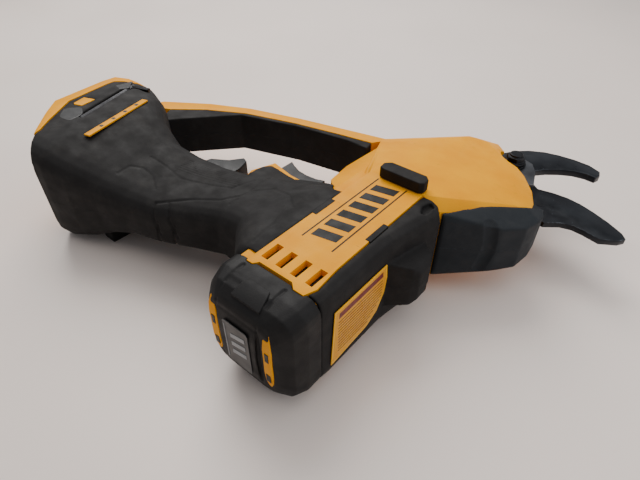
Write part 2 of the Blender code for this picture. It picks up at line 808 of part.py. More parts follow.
def make_foot_pieces():
    plate = foot_block((6.8, -RAIL_HALF, -29.5), (9.2, RAIL_HALF, 29.5))
    rails = []
    for side in (1, -1):
        low, high = sorted((20.8 * side, 23.3 * side))
        rails.append(add(foot_block((2.0, -RAIL_HALF + 0.5, low), (8.0, RAIL_HALF - 0.5, high))))
        low, high = sorted((20.0 * side, 27.0 * side))
        rails.append(add(foot_block((1.0, -RAIL_HALF, low), (2.8, RAIL_HALF, high))))
    rails.append(cut(foot_block((0.0, -20.0, -16.0), (30.0, 20.0, 16.0))))
    make_object("battery_rail_plate", combine(plate, rails), BLACK)
    slots = []
    for z in TERMINALS:
        slots.append(cut(foot_block((-10.0, -7.3, z - 0.7), (40.0, 7.3, z + 0.7))))
    block = foot_block((6.0, -19.5, -15.5), (20.0, 19.5, 15.5))
    make_object("terminal_block", combine(block, slots), BLACK)
    for i, z in enumerate(TERMINALS):
        make_object(f"terminal_blade_{i + 1}", foot_block((1.0, -7.0, z - 0.4), (22.0, 7.0, z + 0.4)), BRASS)
    for name, low, high in (("foot_stripe_right", 36.7, 38.0), ("foot_stripe_left", -38.0, -36.7)):
        stripe = turned_block(STRIPE_CENTRE, STRIPE_ANGLE, STRIPE_LENGTH, STRIPE_WIDTH, low, high)
        make_object(name, stripe, YELLOW)
    pad = combine(
        rounded(box(REST_FOOT_LOW, REST_FOOT_HIGH), 2.0),
        [cut(grip_solid(-GAP))],
    )
    make_object("rest_foot", pad, RUBBER)
    patch = prism(list(CLIP), 37.2, 38.8)
    make_object("wrench_clip", patch, YELLOW)
    make_object("hex_wrench", wrench_shape(2.0, 6), OXIDE_BLACK, body=WRENCH)


# ---------------------------------------------------------------- controls


def make_spring(name, centre, radius, wire, low, high, turns, material):
    """A closed helical wire along Y."""
    steps, sides = int(turns * 10), 6
    rings = []
    for i in range(steps + 1):
        turn = 2 * pi * turns * i / steps
        across, up = cos(turn), sin(turn)
        y = low + wire + (high - low - 2 * wire) * i / steps
        ring = []
        for j in range(sides):
            angle = 2 * pi * j / sides
            out = radius + wire * cos(angle)
            ring.append((centre[0] + out * across, y + wire * sin(angle), centre[1] + out * up))
        rings.append(ring)
    make_object(name, loft(rings), material)


TRIGGER_OUTLINE = (
    (-90.0, 14.0),
    (-56.0, 14.0),
    (-55.5, 47.0),
    (-62.0, 44.8),
    (-70.0, 44.2),
    (-78.0, 45.2),
    (-85.0, 48.2),
    (-90.0, 51.0),
)
LEVER_OUTLINE = (
    (-143.0, 8.0),
    (-140.0, 17.0),
    (-128.5, 24.0),
    (-122.0, 33.0),
    (-117.0, 31.0),
    (-113.8, 21.0),
    (-113.5, 12.0),
    (-114.0, 1.0),
    (-119.0, -4.0),
    (-124.0, 0.0),
    (-133.0, 3.0),
)


def make_controls():
    bore = moved(disc((0.0, 0.0), 4.5, -31.0, -10.0, steps=16), (-72.0, 0.0, 0.0), turn=ALONG_Y_DOWN)
    trigger = combine(rounded(prism(TRIGGER_OUTLINE, -8.0, 8.0), 1.2, angle=60.0), [cut(bore)])
    make_object("trigger", trigger, BLACK, body=TRIGGER)
    make_spring("trigger_spring", (-72.0, 0.0), 3.2, 0.6, 0.6, 24.0, 7, STEEL)
    module = combine(
        rounded(box((-89.0, -24.0, -8.0), (-57.0, 0.0, 8.0)), 1.0),
        [add(box((x, -27.5, -1.0), (x + 4.0, -23.0, 1.0))) for x in (-84.0, -68.0)],
    )
    make_object("switch_module", module, BLACK)
    lever = combine(
        rounded(prism(LEVER_OUTLINE, -7.0, 7.0), 1.2, angle=40.0),
        [cut(disc(LEVER_AXIS, LEVER_PIN_RADIUS + GAP, -20.0, 20.0, steps=12))],
    )
    make_object("lock_off_lever", lever, BLACK, body=LEVER)
    make_object("lock_off_pin", disc(LEVER_AXIS, LEVER_PIN_RADIUS, -11.7, 11.7, steps=12), STEEL)
    board = combine(
        foot_block((24.0, -40.0, -24.0), (25.6, 20.0, 24.0)),
        [
            add(foot_block((25.0, -34.0, -16.0), (31.0, -14.0, 4.0))),
            add(foot_block((25.0, -4.0, -14.0), (29.0, 17.0, -4.0))),
            add(foot_block((25.0, -2.0, 4.0), (34.0, 10.0, 16.0))),
        ],
    )
    make_object("control_board", board, BOARD)


# ---------------------------------------------------------------- motor and gears

ROTOR_RADIUS = 2.5
BEARING_NOSE = 70.0


def along_shaft(profile, steps=24):
    """A turned piece on the motor's axis, from (radius, y) points."""
    shape = turned([(radius, -y) for radius, y in profile], steps)
    return moved(shape, (DRIVE_X, 0.0, 0.0), turn=ALONG_Y_DOWN)


def make_motor():
    can = [(12.0, 4.0), (17.5, 3.0), (18.0, 1.0), (18.0, -46.0), (16.0, -48.0)]
    bore = along_shaft([(ROTOR_RADIUS + GAP, 20.0), (ROTOR_RADIUS + GAP, -60.0)], 12)
    make_object("motor_can", combine(along_shaft(can), [cut(bore)]), STEEL)
    shaft = along_shaft([(ROTOR_RADIUS, 12.0), (ROTOR_RADIUS, -62.0)], 12)
    make_object("motor_shaft", shaft, STEEL, body=ROTOR)
    blades = []
    for i in range(7):
        blade = box((-0.8, -6.5, 3.5), (0.8, 0.0, 16.0))
        blade = moved(blade, (0.0, 0.0, 0.0), Matrix.Rotation(2 * pi * i / 7, 4, "Y"))
        blades.append(add(moved(blade, (DRIVE_X, -52.5, 0.0))))
    web = add(along_shaft([(16.5, -51.5), (16.5, -53.0)]))
    shaft_bore = cut(along_shaft([(ROTOR_RADIUS + GAP, -40.0), (ROTOR_RADIUS + GAP, -70.0)], 12))
    hub = combine(along_shaft([(6.0, -51.0), (6.0, -60.0)]), [web] + blades + [shaft_bore])
    make_object("motor_fan", hub, BLACK, body=ROTOR)
    case = [(9.8 + 2.0, BEARING_NOSE), (11.8, 62.0), (15.0, 60.0), (17.5, 40.0), (17.5, 4.6)]
    case_cuts = [
        cut(along_shaft([(9.8, BEARING_NOSE + 2.0), (9.8, 64.0)])),
        cut(along_shaft([(SHAFT_RADIUS + GAP, 80.0), (SHAFT_RADIUS + GAP, 50.0)])),
        cut(along_shaft([(ROTOR_RADIUS + GAP, 14.0), (ROTOR_RADIUS + GAP, 0.0)], 12)),
    ]
    make_object("gearbox_case", combine(along_shaft(case), case_cuts), ALUMINIUM)
    ring = combine(along_shaft([(9.5, 69.7), (9.5, 64.3)]), [cut(along_shaft([(4.3, 80.0), (4.3, 50.0)]))])
    make_object("output_bearing", ring, STEEL)


def gear_outline(teeth, module, phase=0.0, first=0, last=None, depth=1.0):
    """(radius, angle) points of trapezoid teeth about their own axis, tooth 0 at the phase angle."""
    radius = teeth * module / 2
    pitch = 2 * pi / teeth
    points = []
    for i in range(first, teeth if last is None else last):
        middle = phase + pitch * i
        for share, offset in ((-0.29, -1.2), (-0.12, 0.8), (0.12, 0.8), (0.29, -1.2)):
            points.append((radius + depth * module * offset, middle + pitch * share))
    return points


def polar(points, centre=(0.0, 0.0)):
    return [(centre[0] + r * cos(a), centre[1] + r * sin(a)) for r, a in points]


def bevel_gear_shape(teeth, apex_distance, slope, width, back):
    """A straight bevel gear with its apex at the origin and its axis along +Z.

    The pitch radius at the large end is apex_distance * slope, and the teeth are as deep
    across the pitch cone as a spur gear's would be."""
    radius = apex_distance * slope
    module = 2 * radius / teeth
    depth = sqrt(1.0 + slope * slope)
    teeth_points = gear_outline(teeth, module, depth=depth)
    rings = []
    for share in (1.0 - width, 1.0):
        outline = polar([(r * share, a) for r, a in teeth_points])
        rings.append([(x, y, apex_distance * share) for x, y in outline])
    outline = polar([(radius - 1.2 * depth * module, a) for _, a in teeth_points])
    rings.append([(x, y, apex_distance + back) for x, y in outline])
    return loft(rings)


def make_gears():
    toward_pinion = atan2(SHAFT_Y - PIVOT[1], DRIVE_X - PIVOT[0])
    sector_teeth = int(2 * SECTOR_RADIUS / GEAR_MODULE)
    pinion_teeth = int(2 * PINION_RADIUS / GEAR_MODULE)
    pitch = 2 * pi / sector_teeth
    teeth = gear_outline(sector_teeth, GEAR_MODULE, toward_pinion, -7, 2)
    start, end = teeth[-1][1] + 0.25, teeth[0][1] - 0.25 + 2 * pi
    hub_steps = 10
    hub = [(HUB_RADIUS, start + (end - start) * i / hub_steps) for i in range(hub_steps + 1)]
    sector = combine(
        prism(polar(teeth + hub, PIVOT), SECTOR_LOW, SECTOR_HIGH),
        [
            add(disc(PIVOT, HUB_RADIUS - 0.4, SECTOR_HIGH - 0.5, BLADE_LOW - GAP)),
            bolt_bore(),
            cut(disc(BLADE_PIN, 1.8, -30.0, 10.0, steps=12)),
        ],
    )
    make_object("sector_gear", sector, STEEL, body=BLADE)
    phase = toward_pinion + pi + pi / pinion_teeth
    outline = polar(gear_outline(pinion_teeth, GEAR_MODULE, phase), DRIVE)
    pinion = combine(
        prism(outline, SECTOR_LOW - 0.5, SECTOR_HIGH + 0.5),
        [cut(disc(DRIVE, SHAFT_RADIUS + GAP, -30.0, 10.0))],
    )
    make_object("spur_pinion", pinion, STEEL, body=SHAFT)
    bevel_teeth = 20
    gear = bevel_gear_shape(bevel_teeth, BEVEL_RADIUS, BEVEL_RATIO, 0.4, 3.0)
    gear = moved(gear, turn=Matrix.Rotation(-pi / 2 + pi / bevel_teeth, 4, "Z"))
    gear = moved(gear, (DRIVE[0], DRIVE[1], 0.0))
    gear = combine(gear, [cut(disc(DRIVE, SHAFT_RADIUS + GAP, -30.0, 30.0))])
    make_object("bevel_gear", gear, STEEL, body=SHAFT)
    reach = BEARING_HIGH - GAP
    make_object("drive_shaft", disc(DRIVE, SHAFT_RADIUS, -reach, reach), STEEL, body=SHAFT)
    for name, low in (("upper_bearing", BEARING_LOW), ("lower_bearing", -BEARING_HIGH)):
        high = low + BEARING_HIGH - BEARING_LOW
        make_object(name, tube(DRIVE, BEARING_RADIUS, SHAFT_RADIUS + GAP, low, high), STEEL)
    small = bevel_gear_shape(bevel_teeth // 2, BEVEL_RADIUS * BEVEL_RATIO, 1.0 / BEVEL_RATIO, 0.4, 4.0)
    small = moved(small, turn=Matrix.Rotation(radians(90.0), 4, "X") @ Matrix.Rotation(pi / 2, 4, "Z"))
    small = moved(small, (DRIVE[0], DRIVE[1], 0.0))
    output = combine(small, [add(along_shaft([(SHAFT_RADIUS, SHAFT_Y - 16.0), (SHAFT_RADIUS, 52.0)]))])
    make_object("output_shaft", output, STEEL, body=OUTPUT)


# ---------------------------------------------------------------- jaw

BLADE_PIN = (PIVOT[0] - 5.2, PIVOT[1] - 5.2)
CUTTING_BLADE = (
    (58.0, 145.5),
    (68.0, 147.5),
    (78.0, 147.8),
    (87.0, 146.0),
    (96.0, 142.5),
    (107.0, 137.0),
    (117.0, 130.5),
    (120.4, 126.0),
    (117.5, 121.5),
    (108.0, 115.5),
    (98.0, 118.0),
    (91.0, 118.8),
    (84.0, 116.8),
    (75.5, 110.0),
    (64.0, 112.5),
    (48.0, 125.0),
)
HOOK_BLADE = (
    (27.0, 176.0),
    (35.0, 183.5),
    (45.0, 188.8),
    (55.0, 191.2),
    (66.0, 192.0),
    (77.0, 191.0),
    (86.0, 186.5),
    (87.5, 181.0),
    (86.0, 176.5),
    (79.0, 177.2),
    (71.0, 175.5),
    (63.0, 171.0),
    (55.0, 164.5),
    (48.5, 157.0),
    (47.0, 147.0),
    (38.0, 138.0),
    (27.0, 131.5),
    (16.0, 134.5),
    (13.0, 147.0),
    (18.0, 162.0),
)
PIVOT_PLATE = (
    (28.0, 142.0),
    (25.0, 151.0),
    (28.0, 159.5),
    (36.0, 163.5),
    (46.0, 160.0),
    (52.0, 150.0),
    (57.0, 134.0),
    (47.0, 129.0),
    (35.0, 133.0),
)
PLATE_LOW, PLATE_HIGH = 5.5, 8.5
# (radius, height) points up the pivot bolt: shank, wide flange and domed head.
BOLT_PROFILE = (
    (SHAFT_RADIUS, -17.0),
    (SHAFT_RADIUS, 10.2),
    (7.5, 10.2),
    (7.5, 11.8),
    (6.6, 12.2),
    (5.4, 16.0),
    (3.0, 17.6),
)


def bolt_bore():
    return cut(disc(PIVOT, SHAFT_RADIUS + GAP, -30.0, 30.0))


def make_jaw():
    hub = arc(PIVOT, 11.0, 270.0, 60.0, 8)
    blade = prism(list(CUTTING_BLADE) + hub, BLADE_LOW, BLADE_HIGH)
    pin_bore = cut(disc(BLADE_PIN, 1.8, -30.0, 10.0, steps=12))
    make_object("cutting_blade", combine(blade, [bolt_bore(), pin_bore]), BLADE_STEEL, body=BLADE)
    make_object("blade_pin", disc(BLADE_PIN, 1.5, SECTOR_LOW, BLADE_HIGH, steps=12), STEEL, body=BLADE)
    hook = combine(prism(list(HOOK_BLADE), HOOK_LOW, HOOK_HIGH), [bolt_bore()])
    make_object("hook_blade", hook, BLADE_STEEL)
    plate = combine(prism(list(PIVOT_PLATE), PLATE_LOW, PLATE_HIGH), [bolt_bore()])
    make_object("pivot_plate", plate, STEEL)
    make_object("pivot_washer", tube(PIVOT, 8.2, SHAFT_RADIUS + GAP, PLATE_HIGH + GAP, 9.9), STEEL)
    bolt = turned(BOLT_PROFILE)
    make_object("pivot_bolt", moved(bolt, (PIVOT[0], PIVOT[1], 0.0)), OXIDE_BLACK)
    nut = combine(disc(PIVOT, 7.6, -18.0, SECTOR_LOW - GAP, steps=6), [bolt_bore()])
    make_object("pivot_nut", nut, OXIDE_BLACK)


def make_screws():
    profile = [
        (SCREW_HEAD_RADIUS, SCREW_SEAT - 3.0),
        (SCREW_HEAD_RADIUS, SCREW_SEAT - GAP),
        (SCREW_RADIUS, SCREW_SEAT - GAP),
        (SCREW_RADIUS, SCREW_TIP - 1.0),
        (SCREW_RADIUS / 2, SCREW_TIP),
    ]
    for i, (x, y) in enumerate(SCREWS):
        make_object(f"housing_screw_{i + 1}", moved(turned(profile, steps=12), (x, y, 0.0)), STEEL)


# ---------------------------------------------------------------- the tool


def finish_tool():
    """Stand the tool on z = 0 with its box centred on the origin."""
    bpy.context.view_layer.update()
    corners = []
    for thing in bpy.data.objects:
        if thing.type == "MESH":
            corners += [thing.matrix_world @ Vector(c) for c in thing.bound_box]
    low = [min(c[i] for c in corners) for i in range(3)]
    high = [max(c[i] for c in corners) for i in range(3)]
    TOOL.location = (-(low[0] + high[0]) / 2, -(low[1] + high[1]) / 2, -low[2])
    bpy.context.view_layer.update()


clear_scene()
TOOL = bpy.data.objects.new("pruner", None)
bpy.context.scene.collection.objects.link(TOOL)
YELLOW = paint("yellow_plastic", (0.83, 0.40, 0.005), 0.42)
RUBBER = paint("black_rubber", (0.021, 0.020, 0.021), 0.75)
NOSE_RUBBER = paint("nose_rubber", (0.026, 0.032, 0.038), 0.7)
BLACK = paint("black_plastic", (0.016, 0.016, 0.016), 0.5)
GREY = paint("badge_grey", (0.28, 0.29, 0.30), 0.4)
LABEL_ORANGE = paint("label_orange", (0.68, 0.30, 0.02), 0.5)
STEEL = paint("bright_steel", (0.55, 0.56, 0.58), 0.3, 1.0)
BLADE_STEEL = paint("coated_blade", (0.03, 0.032, 0.036), 0.35, 0.6)
OXIDE_BLACK = paint("black_oxide", (0.02, 0.02, 0.022), 0.45, 0.8)
ALUMINIUM = paint("cast_aluminium", (0.5, 0.5, 0.51), 0.5, 1.0)
BRASS = paint("brass", (0.65, 0.45, 0.15), 0.3, 1.0)
BOARD = paint("circuit_board", (0.01, 0.10, 0.04), 0.5)

BLADE = make_body("blade_axis", (*PIVOT, 0.0))
SHAFT = make_body("drive_shaft_axis", (*DRIVE, 0.0))
OUTPUT = make_body("output_axis", (DRIVE_X, BEARING_NOSE, 0.0))
ROTOR = make_body("rotor_axis", (DRIVE_X, 0.0, 0.0))
TRIGGER = make_body("trigger_axis", (-72.0, 30.0, 0.0))
LEVER = make_body("lever_axis", (*LEVER_AXIS, 0.0))
WRENCH = make_body("wrench_axis", (*WRENCH_START, WRENCH_Z))

make_housing()
make_grip()
make_guard_liner()
make_side_pad()
make_nose()
make_bumpers()
make_rear_cap()
make_label()
make_foot_pieces()
make_controls()
make_motor()
make_gears()
make_jaw()
make_screws()
finish_tool()
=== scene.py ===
"""Looks of the battery electric pruner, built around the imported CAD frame.

Shapes are written in the tool's own frame, in millimetres: +X from the foot to the blades,
+Y from the motor's end cap to the hand guard, z = 0 on the housing's parting plane.  The
frame's own boxes say where that frame lies in the row.
"""

import json
from math import cos, pi, radians, sin

import bmesh
import bpy
import numpy as np
from mathutils import Matrix, Vector

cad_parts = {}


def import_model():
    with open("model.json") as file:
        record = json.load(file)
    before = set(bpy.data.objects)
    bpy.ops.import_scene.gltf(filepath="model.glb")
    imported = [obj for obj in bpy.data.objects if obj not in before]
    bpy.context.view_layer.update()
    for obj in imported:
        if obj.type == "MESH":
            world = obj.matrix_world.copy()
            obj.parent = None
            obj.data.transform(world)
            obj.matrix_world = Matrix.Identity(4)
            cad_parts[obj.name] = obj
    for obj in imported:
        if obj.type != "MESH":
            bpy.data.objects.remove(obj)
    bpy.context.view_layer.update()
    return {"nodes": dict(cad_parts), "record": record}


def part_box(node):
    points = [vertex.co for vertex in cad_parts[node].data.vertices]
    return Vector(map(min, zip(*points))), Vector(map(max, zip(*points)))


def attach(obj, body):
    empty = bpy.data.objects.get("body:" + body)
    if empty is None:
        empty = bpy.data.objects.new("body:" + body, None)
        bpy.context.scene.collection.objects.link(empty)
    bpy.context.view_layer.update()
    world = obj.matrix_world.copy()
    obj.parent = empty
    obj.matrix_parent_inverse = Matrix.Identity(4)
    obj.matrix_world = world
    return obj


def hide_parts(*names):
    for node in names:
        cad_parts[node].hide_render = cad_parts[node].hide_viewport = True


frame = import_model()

MM = 0.001
PIVOT = (35.5, 151.0)
ROOT = "tool_body"
PARTING_GAP = 0.15  # from the parting plane to each housing half
SEAM = 0.3  # points nearer the parting plane than this lie on a half's edge
SKIN_GAP = 0.06  # from the parting plane to each half of a softened skin
SKIN_ANGLE = 60.0  # corners sharper than this stay crisp on a softened skin

bolt_low, bolt_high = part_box("pivot_bolt")
half_low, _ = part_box("right_housing")
ORIGIN = Vector(
    (
        (bolt_low.x + bolt_high.x) / 2 - PIVOT[0] * MM,
        (bolt_low.y + bolt_high.y) / 2 - PIVOT[1] * MM,
        half_low.z - PARTING_GAP * MM,
    )
)


def world(x, y, z):
    return ORIGIN + Vector((x, y, z)) * MM


# ---------------------------------------------------------------- mesh helpers


def join_rings(shape, first, second):
    count = len(first)
    for i in range(count):
        j = (i + 1) % count
        shape.faces.new((first[i], first[j], second[j], second[i]))


def loft(rings):
    """A closed solid through rings of equal length, capped at both ends."""
    shape = bmesh.new()
    layers = [[shape.verts.new(point) for point in ring] for ring in rings]
    for first, second in zip(layers, layers[1:]):
        join_rings(shape, first, second)
    shape.faces.new(layers[0][::-1])
    shape.faces.new(layers[-1])
    bmesh.ops.recalc_face_normals(shape, faces=shape.faces[:])
    return shape


def prism(outline, low, high):
    return loft([[(x, y, low) for x, y in outline], [(x, y, high) for x, y in outline]])


def box(low, high):
    (left, front, bottom), (right, back, top) = low, high
    return prism([(left, front), (right, front), (right, back), (left, back)], bottom, top)


def arc(centre, radius, start, end, steps):
    turn = [radians(start + (end - start) * i / steps) for i in range(steps + 1)]
    return [(centre[0] + radius * cos(a), centre[1] + radius * sin(a)) for a in turn]


def disc(centre, radius, low, high, steps=48):
    return prism(arc(centre, radius, 0.0, 360.0 - 360.0 / steps, steps - 1), low, high)


def hull(points):
    shape = bmesh.new()
    for point in points:
        shape.verts.new(point)
    bmesh.ops.convex_hull(shape, input=shape.verts[:])
    loose = [vert for vert in shape.verts if not vert.link_faces]
    bmesh.ops.delete(shape, geom=loose, context="VERTS")
    return shape


def grown(outline, distance):
    """An outline with every side moved outwards by a distance, its corners kept sharp."""
    points = [Vector(point) for point in outline]
    count = len(points)
    area = sum(points[i].cross(points[(i + 1) % count]) for i in range(count))
    side = 1.0 if area > 0 else -1.0
    result = []
    for i in range(count):
        before = (points[i] - points[i - 1]).normalized()
        after = (points[(i + 1) % count] - points[i]).normalized()
        first = side * Vector((before.y, -before.x))
        second = side * Vector((after.y, -after.x))
        result.append(points[i] + (first + second) * distance / (1.0 + first.dot(second)))
    return [tuple(point) for point in result]


def rounded_outline(outline, radius, steps=4):
    """The outline with each corner replaced by an arc-like curve."""
    points = [Vector(point) for point in outline]
    count = len(points)
    result = []
    for i in range(count):
        corner = points[i]
        back, ahead = points[i - 1] - corner, points[(i + 1) % count] - corner
        reach = min(radius, 0.45 * back.length, 0.45 * ahead.length)
        start = corner + back.normalized() * reach
        end = corner + ahead.normalized() * reach
        for k in range(steps + 1):
            t = k / steps
            result.append(tuple((1 - t) ** 2 * start + 2 * t * (1 - t) * corner + t * t * end))
    return result


def moved(shape, offset=(0.0, 0.0, 0.0), turn=None):
    if turn is not None:
        bmesh.ops.transform(shape, matrix=turn, verts=shape.verts[:])
    bmesh.ops.translate(shape, verts=shape.verts[:], vec=offset)
    return shape


def temp_object(shape):
    mesh = bpy.data.meshes.new("work_shape")
    bmesh.ops.recalc_face_normals(shape, faces=shape.faces[:])
    shape.to_mesh(mesh)
    shape.free()
    thing = bpy.data.objects.new("work_shape", mesh)
    bpy.context.scene.collection.objects.link(thing)
    return thing


def combine(base, changes):
    """Apply Booleans in turn; changes is a list of (operation, bmesh)."""
    thing = temp_object(base)
    for operation, other in changes:
        cutter = temp_object(other)
        step = thing.modifiers.new("step", "BOOLEAN")
        step.operation = operation
        step.object = cutter
        step.solver = "EXACT"
        bpy.context.view_layer.update()
        done = thing.evaluated_get(bpy.context.evaluated_depsgraph_get())
        mesh = bpy.data.meshes.new_from_object(done)
        thing.modifiers.remove(step)
        thing.data = mesh
        bpy.data.objects.remove(cutter, do_unlink=True)
    shape = bmesh.new()
    shape.from_mesh(thing.data)
    bpy.data.objects.remove(thing, do_unlink=True)
    return shape


def cut(shape):
    return ("DIFFERENCE", shape)


def add(shape):
    return ("UNION", shape)


def cad_shape(node):
    """A copy of a CAD node's mesh in the tool's frame, its flat faces made whole again."""
    shape = bmesh.new()
    shape.from_mesh(frame["nodes"][node].data)
    bmesh.ops.translate(shape, verts=shape.verts[:], vec=-ORIGIN)
    bmesh.ops.scale(shape, verts=shape.verts[:], vec=(1 / MM, 1 / MM, 1 / MM))
    bmesh.ops.remove_doubles(shape, verts=shape.verts[:], dist=0.01)
    bmesh.ops.dissolve_limit(shape, angle_limit=radians(1.0), verts=shape.verts[:], edges=shape.edges[:])
    return shape


def body_of_node(node):
    for body, members in frame["record"]["behaviour"]["bodies"].items():
        if node in members:
            return body
    return ROOT


def slot_of_node(node):
    for part in frame["record"]["subparts"]:
        if part["node"] == node:
            return part["material_slot"]
    return None


def piece(
    name,
    shape,
    material,
    slot,
    body=ROOT,
    stands_for=(),
    bevel=0.0,
    segments=3,
    angle=30.0,
    smooth=35.0,
):
    """Turn a bmesh in the tool's frame into a finished object that rides on a body."""
    bmesh.ops.recalc_face_normals(shape, faces=shape.faces[:])
    bmesh.ops.scale(shape, verts=shape.verts[:], vec=(MM, MM, MM))
    bmesh.ops.translate(shape, verts=shape.verts[:], vec=ORIGIN)
    mesh = bpy.data.meshes.new(name)
    shape.to_mesh(mesh)
    shape.free()
    mesh.materials.clear()
    mesh.materials.append(material)
    mesh.shade_smooth()
    thing = bpy.data.objects.new(name, mesh)
    bpy.context.scene.collection.objects.link(thing)
    if bevel:
        edge = thing.modifiers.new("edge", "BEVEL")
        edge.width = bevel * MM
        edge.segments = segments
        edge.limit_method = "ANGLE"
        edge.angle_limit = radians(angle)
        edge.harden_normals = True
    else:
        mesh.set_sharp_from_angle(angle=radians(smooth))
    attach(thing, body)
    if stands_for:
        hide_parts(*stands_for)
    return thing


def joined(nodes):
    """Nodes that meet on the parting plane, in one bmesh, with their seam closed by an overlap."""
    whole = bmesh.new()
    for node in nodes:
        shape = cad_shape(node)
        for vert in shape.verts:
            if abs(vert.co.z) < SEAM:
                vert.co.z *= -2.0
        mesh = bpy.data.meshes.new("half")
        shape.to_mesh(mesh)
        shape.free()
        whole.from_mesh(mesh)
        bpy.data.meshes.remove(mesh)
    return whole


def softened(shape, voxel, rounds):
    """One fine, relaxed skin over a closed shape."""
    thing = temp_object(shape)
    even = thing.modifiers.new("even", "REMESH")
    even.mode = "VOXEL"
    even.voxel_size = voxel
    relax = thing.modifiers.new("relax", "SMOOTH")
    relax.factor = 0.5
    relax.iterations = rounds
    bpy.context.view_layer.update()
    done = thing.evaluated_get(bpy.context.evaluated_depsgraph_get())
    mesh = bpy.data.meshes.new_from_object(done)
    bpy.data.objects.remove(thing, do_unlink=True)
    shape = bmesh.new()
    shape.from_mesh(mesh)
    bpy.data.meshes.remove(mesh)
    return shape


def carve(shape, marks):
    """Press soft grooves into a fine mesh; a mark is (points, half width, depth)."""
    shape.normal_update()
    places = np.array([vert.co for vert in shape.verts])
    normals = np.array([vert.normal for vert in shape.verts])
    depth = np.zeros(len(places))
    for points, width, amount in marks:
        nearest = np.full(len(places), np.inf)
        for first, second in zip(points, points[1:]):
            first, second = np.array(first), np.array(second)
            along = second - first
            share = np.clip((places - first) @ along / (along @ along), 0.0, 1.0)
            distance = np.linalg.norm(places - first - share[:, None] * along, axis=1)
            nearest = np.minimum(nearest, distance)
        fall = np.clip(1.0 - (nearest / width) ** 2, 0.0, 1.0)
        depth = np.maximum(depth, amount * fall)
    for vert, normal, amount in zip(shape.verts, normals, depth):
        if amount > 0.0:
            vert.co -= Vector(normal) * float(amount)


def ribbed(shape, centre, angle, length, width, pitch, amount):
    """Raise fine ribs along a direction on the upper side of a fine mesh, inside a soft-ended patch."""
    shape.normal_update()
    along = Vector((cos(angle), sin(angle)))
    for vert in shape.verts:
        if vert.normal.z < 0.3:
            continue
        place = Vector((vert.co.x - centre[0], vert.co.y - centre[1]))
        u, v = place.dot(along), place.dot(Vector((-along.y, along.x)))
        if abs(u) < length / 2 and abs(v) < width / 2:
            fade = min(1.0, (length / 2 - abs(u)) / 1.5, (width / 2 - abs(v)) / 1.0)
            vert.co += vert.normal * amount * fade * (0.5 + 0.5 * cos(2 * pi * v / pitch))


def soft_halves(shape, nodes, material):
    """Part a skin on the parting plane and put its halves in place of the two CAD nodes."""
    for node, side in zip(nodes, (1.0, -1.0)):
        half = shape.copy()
        bmesh.ops.bisect_plane(
            half,
            geom=half.verts[:] + half.edges[:] + half.faces[:],
            plane_co=(0.0, 0.0, SKIN_GAP * side),
            plane_no=(0.0, 0.0, -side),
            clear_outer=True,
        )
        rim = [edge for edge in half.edges if edge.is_boundary]
        bmesh.ops.triangle_fill(half, use_beauty=True, edges=rim)
        piece(node + "_skin", half, material, slot_of_node(node), ROOT, (node,), smooth=SKIN_ANGLE)
    shape.free()


def soft(node, material, voxel, rounds):
    """A CAD node's own shape with a softened skin, in place of the node."""
    shape = softened(cad_shape(node), voxel, rounds)
    body, slot = body_of_node(node), slot_of_node(node)
    return piece(node + "_skin", shape, material, slot, body, (node,), smooth=SKIN_ANGLE)


def dressed(node, material, **options):
    """A CAD node's own shape with rounded edges, in place of the node."""
    return piece(
        node + "_skin", cad_shape(node), material, slot_of_node(node), body_of_node(node), (node,), **options
    )


# ---------------------------------------------------------------- materials


# Where the Mix node keeps its colour sockets.
MIX_COLOUR_A, MIX_COLOUR_B, MIX_COLOUR_OUT = 6, 7, 2


